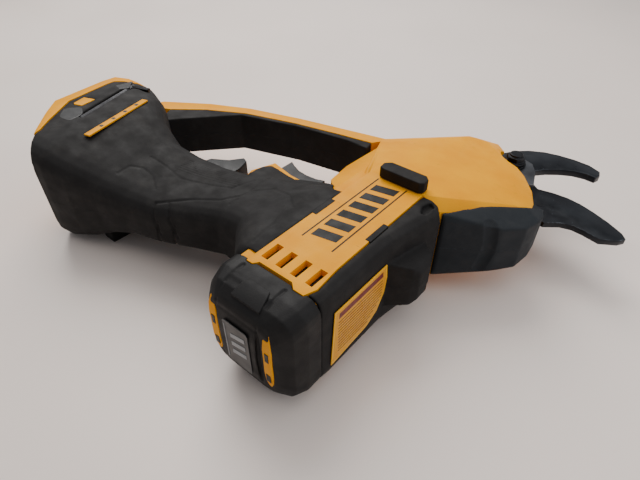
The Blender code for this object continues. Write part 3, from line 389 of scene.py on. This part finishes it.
class Surface:
    """A Principled material built up from small procedural steps."""

    def __init__(self, name, roughness, metallic=0.0, coat=0.0, sheen=0.0, shine=0.5):
        self.material = bpy.data.materials.new(name)
        self.material.use_nodes = True
        self.tree = self.material.node_tree
        self.shader = self.tree.nodes["Principled BSDF"]
        self.shader.inputs["Roughness"].default_value = roughness
        self.shader.inputs["Metallic"].default_value = metallic
        self.shader.inputs["Coat Weight"].default_value = coat
        self.shader.inputs["Sheen Weight"].default_value = sheen
        self.shader.inputs["Specular IOR Level"].default_value = shine
        place = self.tree.nodes.new("ShaderNodeTexCoord")
        self.place = place.outputs["Object"]
        self.height = None

    def link(self, source, target):
        self.tree.links.new(source, target)

    def noise(self, scale, detail=3.0, stretch=(1.0, 1.0, 1.0), rough=0.5):
        """A noise value at a scale in features for each metre."""
        mapping = self.tree.nodes.new("ShaderNodeMapping")
        mapping.inputs["Scale"].default_value = stretch
        self.link(self.place, mapping.inputs["Vector"])
        node = self.tree.nodes.new("ShaderNodeTexNoise")
        node.inputs["Scale"].default_value = scale
        node.inputs["Detail"].default_value = detail
        node.inputs["Roughness"].default_value = rough
        self.link(mapping.outputs["Vector"], node.inputs["Vector"])
        return node.outputs["Fac"]

    def cells(self, scale):
        node = self.tree.nodes.new("ShaderNodeTexVoronoi")
        node.inputs["Scale"].default_value = scale
        self.link(self.place, node.inputs["Vector"])
        return node.outputs["Distance"]

    def ramp(self, value, low, high, out_low=0.0, out_high=1.0):
        node = self.tree.nodes.new("ShaderNodeMapRange")
        node.inputs["From Min"].default_value = low
        node.inputs["From Max"].default_value = high
        node.inputs["To Min"].default_value = out_low
        node.inputs["To Max"].default_value = out_high
        self.link(value, node.inputs["Value"])
        return node.outputs["Result"]

    def times(self, first, second):
        node = self.tree.nodes.new("ShaderNodeMath")
        node.operation = "MULTIPLY"
        self.link(first, node.inputs[0])
        self.link(second, node.inputs[1])
        return node.outputs["Value"]

    def edges(self, radius):
        """1 on edges that wear would round, 0 on flats."""
        geometry = self.tree.nodes.new("ShaderNodeNewGeometry")
        soft_edge = self.tree.nodes.new("ShaderNodeBevel")
        soft_edge.inputs["Radius"].default_value = radius
        soft_edge.samples = 4
        dot = self.tree.nodes.new("ShaderNodeVectorMath")
        dot.operation = "DOT_PRODUCT"
        self.link(geometry.outputs["Normal"], dot.inputs[0])
        self.link(soft_edge.outputs["Normal"], dot.inputs[1])
        return self.ramp(dot.outputs["Value"], 0.985, 0.90)

    def colour(self, first, second, factor):
        node = self.tree.nodes.new("ShaderNodeMix")
        node.data_type = "RGBA"
        for index, value in ((MIX_COLOUR_A, first), (MIX_COLOUR_B, second)):
            socket = node.inputs[index]
            if isinstance(value, tuple):
                socket.default_value = (*value, 1.0)
            else:
                self.link(value, socket)
        self.link(factor, node.inputs["Factor"])
        return node.outputs[MIX_COLOUR_OUT]

    def bump(self, value, strength, distance):
        node = self.tree.nodes.new("ShaderNodeBump")
        node.inputs["Strength"].default_value = strength
        node.inputs["Distance"].default_value = distance
        self.link(value, node.inputs["Height"])
        if self.height is not None:
            self.link(self.height, node.inputs["Normal"])
        self.height = node.outputs["Normal"]
        self.link(self.height, self.shader.inputs["Normal"])

    def done(self, colour=None, roughness=None):
        if colour is not None:
            self.link(colour, self.shader.inputs["Base Color"])
        if roughness is not None:
            self.link(roughness, self.shader.inputs["Roughness"])
        return self.material


def yellow_plastic():
    s = Surface("yellow nylon", 0.42, shine=0.08)
    cloud = s.ramp(s.noise(45.0, 4.0), 0.35, 0.7)
    colour = s.colour((0.90, 0.375, 0.0), (0.82, 0.315, 0.0), cloud)
    grime = s.ramp(s.noise(130.0, 6.0, rough=0.7), 0.60, 0.80, 0.0, 0.40)
    colour = s.colour(colour, (0.30, 0.15, 0.02), grime)
    scuffs = s.ramp(s.noise(160.0, 2.0, stretch=(1.0, 7.0, 1.0)), 0.72, 0.78, 0.0, 0.40)
    colour = s.colour(colour, (0.20, 0.11, 0.03), scuffs)
    worn = s.times(s.edges(0.0007), s.ramp(s.noise(260.0, 3.0), 0.45, 0.6))
    colour = s.colour(colour, (0.86, 0.45, 0.02), worn)
    s.bump(s.noise(2600.0, 2.0), 0.25, 0.00006)
    s.bump(s.noise(160.0, 2.0, stretch=(1.0, 7.0, 1.0)), 0.06, 0.0002)
    return s.done(colour, s.ramp(s.noise(90.0, 5.0), 0.3, 0.7, 0.36, 0.56))


def rubber(name, base, dust, rough=0.72, dust_amount=0.35):
    s = Surface(name, rough, shine=0.22)
    cloud = s.ramp(s.noise(30.0, 4.0), 0.35, 0.7)
    colour = s.colour(base, tuple(1.35 * c for c in base), cloud)
    dusty = s.ramp(s.noise(70.0, 8.0, rough=0.75), 0.52, 0.80, 0.0, dust_amount)
    colour = s.colour(colour, dust, dusty)
    specks = s.ramp(s.cells(420.0), 0.03, 0.012)
    specks = s.times(specks, s.ramp(s.noise(25.0, 2.0), 0.58, 0.66, 0.0, 0.5))
    colour = s.colour(colour, (0.28, 0.26, 0.23), specks)
    worn = s.times(s.edges(0.0009), s.ramp(s.noise(300.0, 3.0), 0.45, 0.62, 0.0, 0.6))
    colour = s.colour(colour, tuple(3.0 * c for c in base), worn)
    s.bump(s.cells(1500.0), 0.35, 0.00012)
    s.bump(s.noise(3800.0, 2.0), 0.25, 0.00006)
    return s.done(colour, s.ramp(s.noise(110.0, 4.0), 0.3, 0.7, rough - 0.08, rough + 0.1))


def hard_black(name, base=(0.006, 0.006, 0.0065), rough=0.42):
    s = Surface(name, rough, shine=0.3)
    colour = s.colour(base, tuple(2.0 * c for c in base), s.ramp(s.noise(60.0, 4.0), 0.4, 0.7))
    s.bump(s.noise(2500.0, 2.0), 0.2, 0.00005)
    return s.done(colour, s.ramp(s.noise(150.0, 4.0), 0.3, 0.7, rough - 0.07, rough + 0.1))


def bare_metal(name, light, dark, rough, stretch=(1.0, 1.0, 1.0)):
    s = Surface(name, rough, metallic=1.0)
    grain = s.noise(900.0, 4.0, stretch=stretch)
    colour = s.colour(light, dark, s.ramp(s.noise(80.0, 5.0), 0.4, 0.72))
    s.bump(grain, 0.12, 0.00005)
    return s.done(colour, s.ramp(grain, 0.3, 0.7, rough - 0.06, rough + 0.12))


def coated_blade():
    """Black low-friction coating, rubbed through to bare steel along its edges."""
    s = Surface("blade coating", 0.34, metallic=0.55)
    cloud = s.ramp(s.noise(60.0, 5.0), 0.35, 0.7)
    colour = s.colour((0.010, 0.011, 0.014), (0.022, 0.025, 0.030), cloud)
    worn = s.times(s.edges(0.0005), s.ramp(s.noise(380.0, 4.0), 0.42, 0.6))
    colour = s.colour(colour, (0.32, 0.35, 0.40), worn)
    scratches = s.ramp(s.noise(240.0, 2.0, stretch=(6.0, 1.0, 1.0)), 0.70, 0.76, 0.0, 0.35)
    colour = s.colour(colour, (0.16, 0.18, 0.21), scratches)
    s.bump(s.noise(1800.0, 3.0), 0.15, 0.00004)
    return s.done(colour, s.ramp(s.noise(120.0, 4.0), 0.3, 0.7, 0.26, 0.46))


def plain_film(name, first, second, rough=0.4):
    s = Surface(name, rough, shine=0.3)
    colour = s.colour(first, second, s.ramp(s.noise(120.0, 5.0), 0.4, 0.7))
    s.bump(s.noise(1500.0, 2.0), 0.08, 0.00004)
    return s.done(colour, s.ramp(s.noise(200.0, 3.0), 0.3, 0.7, rough - 0.08, rough + 0.1))


def floor_material():
    s = Surface("pale table", 0.32)
    colour = s.colour((0.88, 0.775, 0.71), (0.84, 0.73, 0.66), s.ramp(s.noise(2.2, 3.0), 0.35, 0.7))
    return s.done(colour, s.ramp(s.noise(6.0, 3.0), 0.3, 0.7, 0.34, 0.46))


YELLOW = yellow_plastic()
RUBBER = rubber("overmould rubber", (0.0105, 0.0095, 0.0093), (0.045, 0.040, 0.034))
NOSE = rubber("nose rubber", (0.013, 0.0155, 0.0185), (0.050, 0.050, 0.050), 0.66)
CAP = rubber("cap rubber", (0.0095, 0.0088, 0.0088), (0.040, 0.036, 0.032), 0.6, 0.25)
BLACK = hard_black("black nylon")
INK = hard_black("printed black", (0.004, 0.0035, 0.003), 0.6)
STEEL = bare_metal("ground steel", (0.60, 0.61, 0.63), (0.42, 0.43, 0.45), 0.28, (1.0, 9.0, 1.0))
ALUMINIUM = bare_metal("cast aluminium", (0.60, 0.60, 0.61), (0.46, 0.46, 0.47), 0.45)
BRASS = bare_metal("brass", (0.72, 0.50, 0.20), (0.55, 0.36, 0.12), 0.3)
OXIDE = bare_metal("black oxide", (0.045, 0.045, 0.048), (0.02, 0.02, 0.022), 0.36)
COATED = coated_blade()
BRACKET = bare_metal("bracket steel", (0.20, 0.205, 0.215), (0.10, 0.10, 0.105), 0.34)
BADGE = hard_black("badge panel", (0.020, 0.021, 0.023), 0.35)
GREY = plain_film("badge grey", (0.30, 0.31, 0.32), (0.22, 0.23, 0.24))
ORANGE = plain_film("label orange", (0.78, 0.34, 0.01), (0.70, 0.28, 0.01))
LABEL_EDGE = plain_film("label yellow", (0.95, 0.46, 0.0), (0.88, 0.40, 0.0))
LABEL_RED = plain_film("label red", (0.17, 0.02, 0.018), (0.12, 0.015, 0.015))
LABEL_INK = plain_film("label ink", (0.10, 0.035, 0.008), (0.07, 0.025, 0.006))
BOARD = plain_film("circuit board", (0.01, 0.10, 0.04), (0.008, 0.07, 0.03))
FLOOR = floor_material()

CAD_MATERIALS = {
    "yellow_plastic": YELLOW,
    "black_rubber": RUBBER,
    "nose_rubber": NOSE,
    "black_plastic": BLACK,
    "badge_grey": GREY,
    "label_film": ORANGE,
    "bright_steel": STEEL,
    "coated_blade": COATED,
    "black_oxide": OXIDE,
    "cast_aluminium": ALUMINIUM,
    "brass": BRASS,
    "circuit_board": BOARD,
}


def paint_cad_nodes():
    for name, thing in frame["nodes"].items():
        thing.data.materials.clear()
        thing.data.materials.append(CAD_MATERIALS[slot_of_node(name)])


# ---------------------------------------------------------------- room


CAMERA_PLACE = (119.2, -166.5, 189.8)
CAMERA_HEADING = (-0.643, 0.766)
CAMERA_PITCH = 40.5  # degrees below the horizon
SENSOR_WIDTH = 36.0
LENS = 26.72
NEAR_CLIP = 0.005


def make_camera():
    """A wide view from above the motor's end cap."""
    camera = bpy.data.objects.new("camera", bpy.data.cameras.new("camera"))
    bpy.context.scene.collection.objects.link(camera)
    camera.location = world(*CAMERA_PLACE)
    pitch = radians(CAMERA_PITCH)
    along = Vector(CAMERA_HEADING).normalized() * cos(pitch)
    view = Vector((along.x, along.y, -sin(pitch)))
    camera.rotation_mode = "QUATERNION"
    camera.rotation_quaternion = view.to_track_quat("-Z", "Y")
    camera.data.sensor_width = SENSOR_WIDTH
    camera.data.lens = LENS
    camera.data.clip_start = NEAR_CLIP
    bpy.context.scene.camera = camera


TABLE_REACH = 4000.0
TABLE_BOTTOM, TABLE_TOP = -60.0, -39.0
# Each light is (name, place in mm, side in m, power in W, colour).
LIGHTS = (
    ("window", (-700.0, 500.0, 900.0), 0.9, 15.0, (1.0, 0.98, 0.95)),
    ("ceiling", (100.0, 100.0, 1300.0), 1.6, 9.0, (1.0, 0.97, 0.94)),
    ("side", (900.0, 300.0, 500.0), 0.7, 3.5, (0.92, 0.96, 1.0)),
)
LIGHT_AIM = (-60.0, 40.0, 0.0)
SKY_COLOUR = (0.90, 0.93, 1.0, 1.0)
SKY_STRENGTH = 0.30


def make_room():
    """A pale table, three soft lights and a dim sky."""
    shape = box((-TABLE_REACH, -TABLE_REACH, TABLE_BOTTOM), (TABLE_REACH, TABLE_REACH, TABLE_TOP))
    bmesh.ops.scale(shape, verts=shape.verts[:], vec=(MM, MM, MM))
    mesh = bpy.data.meshes.new("table")
    shape.to_mesh(mesh)
    shape.free()
    mesh.materials.append(FLOOR)
    table = bpy.data.objects.new("table", mesh)
    table.location = (ORIGIN.x, ORIGIN.y, ORIGIN.z)
    bpy.context.scene.collection.objects.link(table)
    for name, place, size, power, colour in LIGHTS:
        light = bpy.data.lights.new(name, "AREA")
        light.energy = power
        light.size = size
        light.color = colour
        lamp = bpy.data.objects.new(name, light)
        lamp.location = world(*place)
        aim = world(*LIGHT_AIM) - lamp.location
        lamp.rotation_mode = "QUATERNION"
        lamp.rotation_quaternion = aim.to_track_quat("-Z", "Y")
        bpy.context.scene.collection.objects.link(lamp)
    sky = bpy.data.worlds.new("soft sky")
    sky.use_nodes = True
    background = sky.node_tree.nodes["Background"]
    background.inputs["Color"].default_value = SKY_COLOUR
    background.inputs["Strength"].default_value = SKY_STRENGTH
    bpy.context.scene.world = sky


# ---------------------------------------------------------------- handle, guard and nose

# Moulded seams on the grip's upper side, each (points, half width, depth).
GRIP_SEAMS = (
    (((-112.9, -49.2, 15.6), (-111.3, -53.0, 12.0), (-109.9, -54.4, 7.1), (-108.0, -53.8, -4.0)), 1.3, 0.8),
    (((-106.0, -43.5, 16.9), (-102.6, -47.8, 13.3), (-100.1, -49.7, 6.6), (-97.3, -48.5, -5.0)), 1.3, 0.8),
    (
        (
            (-112.9, -49.2, 15.6),
            (-106.0, -43.5, 16.9),
            (-94.4, -33.5, 18.5),
            (-79.9, -24.4, 19.7),
            (-72.0, -14.0, 20.8),
            (-70.7, -7.8, 21.1),
            (-74.5, 13.6, 18.9),
        ),
        1.2,
        0.6,
    ),
    (
        (
            (-149.2, -50.0, 23.2),
            (-149.4, -40.7, 24.0),
            (-143.2, -35.4, 22.4),
            (-134.7, -35.2, 20.4),
            (-122.0, -42.0, 18.5),
        ),
        1.4,
        0.45,
    ),
    (
        (
            (-149.1, -24.7, 23.9),
            (-135.5, -22.8, 20.5),
            (-119.0, -24.6, 19.4),
            (-104.0, -19.5, 19.1),
            (-83.5, -11.6, 19.9),
            (-79.0, 4.0, 19.6),
        ),
        1.2,
        0.5,
    ),
    (
        (
            (-71.9, -23.4, 20.0),
            (-69.9, -6.4, 21.3),
            (-58.8, 2.3, 23.2),
            (-43.5, -1.3, 27.4),
            (-31.0, -12.0, 31.0),
        ),
        1.3,
        0.5,
    ),
    (((-26.5, -46.0, 30.4), (-28.0, -28.0, 31.2), (-34.0, -10.0, 30.0)), 1.4, 0.5),
)
RIB_CENTRE, RIB_ANGLE = (-107.5, -7.0), radians(14.0)
RIB_LENGTH, RIB_WIDTH, RIB_PITCH, RIB_HEIGHT = 50.0, 18.0, 2.2, 0.55


def make_handle():
    """The grip's skin with its seams and ribs, and the guard's liner."""
    skin = softened(joined(("right_grip", "left_grip")), voxel=0.8, rounds=14)
    carve(skin, GRIP_SEAMS)
    carve(skin, [([(x, y, -z) for x, y, z in points], width, depth) for points, width, depth in GRIP_SEAMS])
    ribbed(skin, RIB_CENTRE, RIB_ANGLE, RIB_LENGTH, RIB_WIDTH, RIB_PITCH, RIB_HEIGHT)
    soft_halves(skin, ("right_grip", "left_grip"), RUBBER)
    liner = softened(joined(("right_guard_liner", "left_guard_liner")), voxel=0.8, rounds=6)
    soft_halves(liner, ("right_guard_liner", "left_guard_liner"), RUBBER)


# The slot that the cutting blade swings in.
BLADE_MOUTH = ((12.0, 150.0), (26.0, 140.0), (60.0, 112.0), (72.0, 101.0), (110.0, 88.0), (110.0, 150.0))
MOUTH_LOW, MOUTH_HIGH = -5.4, 9.6
# A shallow scallop down the nose: points, half width, depth.
NOSE_SCALLOP = (((57.5, 60.0, 19.0), (59.5, 60.5, 8.0), (60.0, 60.5, -2.0), (57.0, 60.0, -14.0)), 4.2, 1.5)


def make_nose_and_pads():
    """The nose with the blades' slot, the side pads, the bumper bars and the rest foot."""
    rough = joined(("right_nose", "left_nose"))
    whole = hull([vert.co.copy() for vert in rough.verts])
    rough.free()
    whole = combine(whole, [cut(prism(BLADE_MOUTH, MOUTH_LOW, MOUTH_HIGH))])
    skin = softened(whole, voxel=0.7, rounds=14)
    carve(skin, [NOSE_SCALLOP])
    soft_halves(skin, ("right_nose", "left_nose"), NOSE)
    pads = softened(joined(("right_side_pad", "left_side_pad")), voxel=0.7, rounds=7)
    soft_halves(pads, ("right_side_pad", "left_side_pad"), RUBBER)
    for node in ("right_bumper", "left_bumper"):
        soft(node, RUBBER, voxel=0.4, rounds=6)
    soft("rest_foot", RUBBER, voxel=0.6, rounds=4)


# ---------------------------------------------------------------- barrel

PLATE_TOP = 31.5
PRINT_BELOW, PRINT_ABOVE = 0.1, 0.06
RULES = (-9.5, 10.4)
RULE_HALF, RULE_START, RULE_END = 0.45, -27.7, 42.0
BAR_COUNT, BAR_FIRST, BAR_STEP = 6, -24.0, 10.6
BAR_LEFT, BAR_RIGHT, BAR_SLANT, BAR_WIDTH = -6.8, 7.7, 3.0, 6.6
EDGE_TABS = (-17.0, 19.2)
TAB_HALF, TAB_START, TAB_END, TAB_LOW, TAB_HIGH = 1.7, -9.5, 7.5, 31.0, 31.75
VENT_COUNT, VENT_FIRST, VENT_STEP = 4, -12.4, 9.6
SCREEN_HALF, SCREEN_START, SCREEN_END, SCREEN_LOW, SCREEN_HIGH = 2.15, -52.4, -40.6, 25.4, 27.2


def make_plate_marks():
    """Print two rules with a row of plain slanted bars on each flat side, and add its tabs and screens."""
    for side, label in ((1.0, "right"), (-1.0, "left")):
        low, high = sorted((side * (PLATE_TOP - PRINT_BELOW), side * (PLATE_TOP + PRINT_ABOVE)))
        for i, x in enumerate(RULES):
            rule = box((x - RULE_HALF, RULE_START, low), (x + RULE_HALF, RULE_END, high))
            piece(f"{label}_rule_{i + 1}", rule, INK, "black_plastic")
        for i in range(BAR_COUNT):
            y = BAR_FIRST + BAR_STEP * i
            outline = [
                (BAR_LEFT, y),
                (BAR_RIGHT, y + BAR_SLANT),
                (BAR_RIGHT, y + BAR_SLANT + BAR_WIDTH),
                (BAR_LEFT, y + BAR_WIDTH),
            ]
            piece(f"{label}_bar_{i + 1}", prism(outline, low, high), INK, "black_plastic")
        low, high = sorted((side * TAB_LOW, side * TAB_HIGH))
        for i, x in enumerate(EDGE_TABS):
            tab = box((x - TAB_HALF, TAB_START, low), (x + TAB_HALF, TAB_END, high))
            piece(f"{label}_edge_tab_{i + 1}", tab, RUBBER, "black_rubber", bevel=0.35)
        low, high = sorted((side * SCREEN_LOW, side * SCREEN_HIGH))
        for i in range(VENT_COUNT):
            x = VENT_FIRST + VENT_STEP * i
            screen = box((x - SCREEN_HALF, SCREEN_START, low), (x + SCREEN_HALF, SCREEN_END, high))
            piece(f"{label}_vent_screen_{i + 1}", screen, BLACK, "black_plastic")


def strip_outline(first, second, width):
    first, second = Vector(first), Vector(second)
    along = (second - first).normalized()
    across = Vector((-along.y, along.x)) * width / 2
    return [tuple(p) for p in (first - across, second - across, second + across, first + across)]


# Turns an outline drawn in (y, z) and raised along the third axis to stand out along x.
YZ = Matrix(((0.0, 0.0, 1.0, 0.0), (1.0, 0.0, 0.0, 0.0), (0.0, 1.0, 0.0, 0.0), (0.0, 0.0, 0.0, 1.0)))
LABEL = (
    (-49.0, 18.0),
    (-5.0, 18.0),
    (-3.5, 8.0),
    (-5.0, -3.0),
    (-11.0, -13.0),
    (-20.0, -18.0),
    (-51.0, -21.0),
)
LABEL_BORDER = 1.4
LABEL_BAND = ((-45.5, 15.2), (-8.5, 15.2), (-8.0, 11.4), (-45.8, 11.4))
FIELD_LOW, FIELD_HIGH = 29.8, 29.97
LABEL_PRINT_LOW, LABEL_PRINT_HIGH = 29.9, 30.02
LINE_COUNT, LINE_FIRST, LINE_STEP, LINE_HALF = 11, 8.8, 2.25, 0.28
LINE_START, LINE_END = -46.0, -8.0
LINE_BEND, LINE_SLOPE = -3.0, 1.1  # below this height the lines shorten with the film's slanted edge


def make_label():
    """A blank film with a printed border, a plain header band and ruled lines."""
    dressed("rating_label", LABEL_EDGE, bevel=0.12)
    field = moved(prism(grown(LABEL, -LABEL_BORDER), FIELD_LOW, FIELD_HIGH), turn=YZ)
    piece("label_field", field, ORANGE, "label_film")
    header = moved(prism(LABEL_BAND, LABEL_PRINT_LOW, LABEL_PRINT_HIGH), turn=YZ)
    piece("label_header", header, LABEL_RED, "label_film")
    for i in range(LINE_COUNT):
        z = LINE_FIRST - LINE_STEP * i
        end = LINE_END if z > LINE_BEND else LINE_END + LINE_SLOPE * (z - LINE_BEND)
        line = box((LABEL_PRINT_LOW, LINE_START, z - LINE_HALF), (LABEL_PRINT_HIGH, end, z + LINE_HALF))
        piece(f"label_line_{i + 1}", line, LABEL_INK, "label_film")


CAP_GROOVES = (-16.9, 10.4)
GROOVE_PATH = ((-62.0, 31.4), (-74.0, 29.5), (-80.5, 22.0), (-82.5, 0.0), (-80.5, -22.0))
GROOVE_HALF, GROOVE_DEPTH = 1.2, 0.9
# The latch's rows of corners, each (y, z, left, right).
LATCH_ROWS = (
    (-67.4, 31.9, -6.5, 6.5),
    (-71.0, 32.0, -8.4, 8.2),
    (-77.6, 28.6, -9.6, 9.2),
    (-67.4, 30.0, -6.5, 6.5),
    (-71.0, 29.5, -8.4, 8.2),
    (-77.6, 26.4, -9.6, 9.2),
)
PANEL = ((-11.5, -15.0), (6.0, -15.0), (6.0, 15.5), (-11.5, 15.5))
PANEL_CORNER, PANEL_BACK, PANEL_FRONT = 2.0, 83.35, 83.75
CAP_BAR_COUNT, CAP_BAR_FIRST, CAP_BAR_STEP = 3, 5.2, 6.0
CAP_BAR_LEFT, CAP_BAR_RIGHT, CAP_BAR_SLANT, CAP_BAR_WIDTH = -6.5, 3.5, 2.4, 3.0
CAP_BAR_BACK, CAP_BAR_FRONT = 83.6, 83.95
EDGE_LINE = ((-10.6, -83.95, -12.5), (-10.0, -83.6, 13.0))
INLAYS = (("cap_inlay_left", -20.6), ("cap_inlay_right", 16.4))
# An inlay's sections from top to bottom, each (z, y of its face, half width).
INLAY_SECTIONS = (
    (24.6, -78.3, 0.4),
    (21.5, -80.6, 1.5),
    (17.0, -81.8, 2.4),
    (11.0, -82.2, 2.9),
    (2.0, -82.4, 2.6),
    (-6.0, -82.4, 2.8),
    (-13.0, -82.1, 2.4),
    (-17.0, -81.6, 0.8),
)
INLAY_DEPTH = 2.4
# The dark recesses in an inlay, each (name, half width, bottom, top).
INLAY_RECESSES = (("pocket", 1.5, -12.0, -6.5), ("window", 1.2, 3.5, 9.5))
RECESS_FRONT, RECESS_BACK = -82.6, -82.2


def make_rear():
    """The motor's end cap with its latch, its badge panel and its two inlays."""
    skin = softened(cad_shape("rear_cap"), voxel=0.6, rounds=6)
    for x in CAP_GROOVES:
        carve(skin, [([(x, y, z) for y, z in GROOVE_PATH], GROOVE_HALF, GROOVE_DEPTH)])
    piece("rear_cap_skin", skin, CAP, "black_rubber", ROOT, ("rear_cap",), smooth=SKIN_ANGLE)
    latch = hull([(x, y, z) for y, z, left, right in LATCH_ROWS for x in (left, right)])
    piece("cap_latch", latch, CAP, "black_rubber", bevel=0.8, segments=4)
    turn = Matrix.Rotation(radians(90.0), 4, "X")
    panel = moved(prism(rounded_outline(PANEL, PANEL_CORNER), PANEL_BACK, PANEL_FRONT), turn=turn)
    piece("cap_badge_panel", panel, BADGE, "badge_grey", ROOT, ("cap_badge",), bevel=0.15)
    for i in range(CAP_BAR_COUNT):
        z = CAP_BAR_FIRST - CAP_BAR_STEP * i
        outline = [
            (CAP_BAR_LEFT, z),
            (CAP_BAR_RIGHT, z + CAP_BAR_SLANT),
            (CAP_BAR_RIGHT, z + CAP_BAR_SLANT + CAP_BAR_WIDTH),
            (CAP_BAR_LEFT, z + CAP_BAR_WIDTH),
        ]
        bar = moved(prism(outline, CAP_BAR_BACK, CAP_BAR_FRONT), turn=turn)
        piece(f"cap_bar_{i + 1}", bar, GREY, "badge_grey", bevel=0.08)
    piece("cap_edge_line", box(*EDGE_LINE), GREY, "badge_grey")
    for node, middle in INLAYS:
        rings = []
        for z, y, half in INLAY_SECTIONS:
            left, right, back = middle - half, middle + half, y + INLAY_DEPTH
            rings.append([(left, y, z), (right, y, z), (right, back, z), (left, back, z)])
        piece(node + "_skin", loft(rings), YELLOW, "yellow_plastic", ROOT, (node,), bevel=0.4)
        for name, half, bottom, top in INLAY_RECESSES:
            recess = box((middle - half, RECESS_FRONT, bottom), (middle + half, RECESS_BACK, top))
            piece(f"{node}_{name}", recess, BLACK, "black_plastic", bevel=0.15)


# ---------------------------------------------------------------- foot

KEY_COVER = ((-232.0, -38.0), (-221.0, -48.0), (-208.5, -46.0), (-211.5, -34.0), (-223.0, -27.0))
KEY_POCKET = ((-240.0, 8.0), (-237.0, 23.5), (-227.0, 13.0), (-233.0, 4.0))
KEY_BASE, COVER_TOP, POCKET_TOP = 35.0, 38.9, 38.7
COVER_CORNER, POCKET_CORNER = 4.0, 2.0
STRIPE_MIDDLE, STRIPE_ANGLE = (-192.0, -19.0), -73.0
TICK_COUNT, TICK_FIRST, TICK_STEP = 4, -20.0, 12.0
TICK_HALF, TICK_WIDTH, TICK_LOW, TICK_HIGH = 1.2, 2.6, 37.8, 38.12


def make_foot():
    """The foot's key cover and pocket, its stripes with their ticks, and the battery seat."""
    cover = prism(rounded_outline(KEY_COVER, COVER_CORNER), KEY_BASE, COVER_TOP)
    piece("key_cover", cover, BLACK, "black_plastic", bevel=1.0, segments=4)
    pocket = prism(rounded_outline(KEY_POCKET, POCKET_CORNER), KEY_BASE, POCKET_TOP)
    piece("key_pocket", pocket, BLACK, "black_plastic", bevel=0.6)
    for node in ("foot_stripe_right", "foot_stripe_left"):
        dressed(node, YELLOW, bevel=0.4)
    along = Vector((cos(radians(STRIPE_ANGLE)), sin(radians(STRIPE_ANGLE))))
    for side, label in ((1.0, "right"), (-1.0, "left")):
        low, high = sorted((side * TICK_LOW, side * TICK_HIGH))
        for i in range(TICK_COUNT):
            place = Vector(STRIPE_MIDDLE) + along * (TICK_FIRST + TICK_STEP * i)
            tick = strip_outline(place - along * TICK_HALF, place + along * TICK_HALF, TICK_WIDTH)
            piece(f"{label}_stripe_tick_{i + 1}", prism(tick, low, high), BLACK, "black_plastic")
    dressed("wrench_clip", YELLOW, bevel=0.4)
    dressed("hex_wrench", OXIDE, bevel=0.3)
    for node in ("battery_rail_plate", "terminal_block"):
        dressed(node, BLACK, bevel=0.3)


# ---------------------------------------------------------------- blades and controls


BOLT_STEM = (4.0, -17.0, 10.4)  # radius, bottom, top
BOLT_FLANGE = (7.5, 10.2, 11.9)
BOLT_TIP = (4.4, 15.4, 17.2)
HEX_RADIUS, HEX_LOW, HEX_HIGH = 6.4, 11.7, 15.6
BLADE_HOLE = (66.0, 128.0)
HOLE_RADIUS, HOLE_LOW, HOLE_HIGH = 2.6, -0.45, -0.28


def make_jaw():
    """The two blades, the pivot with its stepped bolt head, and the two finger controls."""
    dressed("cutting_blade", COATED, bevel=0.7, segments=2, angle=50.0)
    dressed("hook_blade", COATED, bevel=0.6, segments=2, angle=50.0)
    dressed("pivot_plate", BRACKET, bevel=0.4)
    dressed("pivot_washer", OXIDE, bevel=0.2)
    dressed("pivot_nut", OXIDE, bevel=0.4)
    hexagon = prism(arc(PIVOT, HEX_RADIUS, 0.0, 300.0, 5), HEX_LOW, HEX_HIGH)
    head = combine(
        disc(PIVOT, *BOLT_STEM),
        [add(disc(PIVOT, *BOLT_FLANGE)), add(hexagon), add(disc(PIVOT, *BOLT_TIP))],
    )
    piece("pivot_bolt_head", head, OXIDE, "black_oxide", ROOT, ("pivot_bolt",), bevel=0.45, angle=25.0)
    rim = disc(BLADE_HOLE, HOLE_RADIUS, HOLE_LOW, HOLE_HIGH, steps=24)
    piece("blade_hole_rim", rim, OXIDE, "coated_blade", "blade")
    for node in ("trigger", "lock_off_lever"):
        dressed(node, BLACK, bevel=0.9, segments=4)


paint_cad_nodes()
make_camera()
make_room()
for housing in ("right_housing", "left_housing"):
    dressed(housing, YELLOW, bevel=0.8, angle=22.0)
make_handle()
make_nose_and_pads()
make_plate_marks()
make_label()
make_rear()
make_foot()
make_jaw()
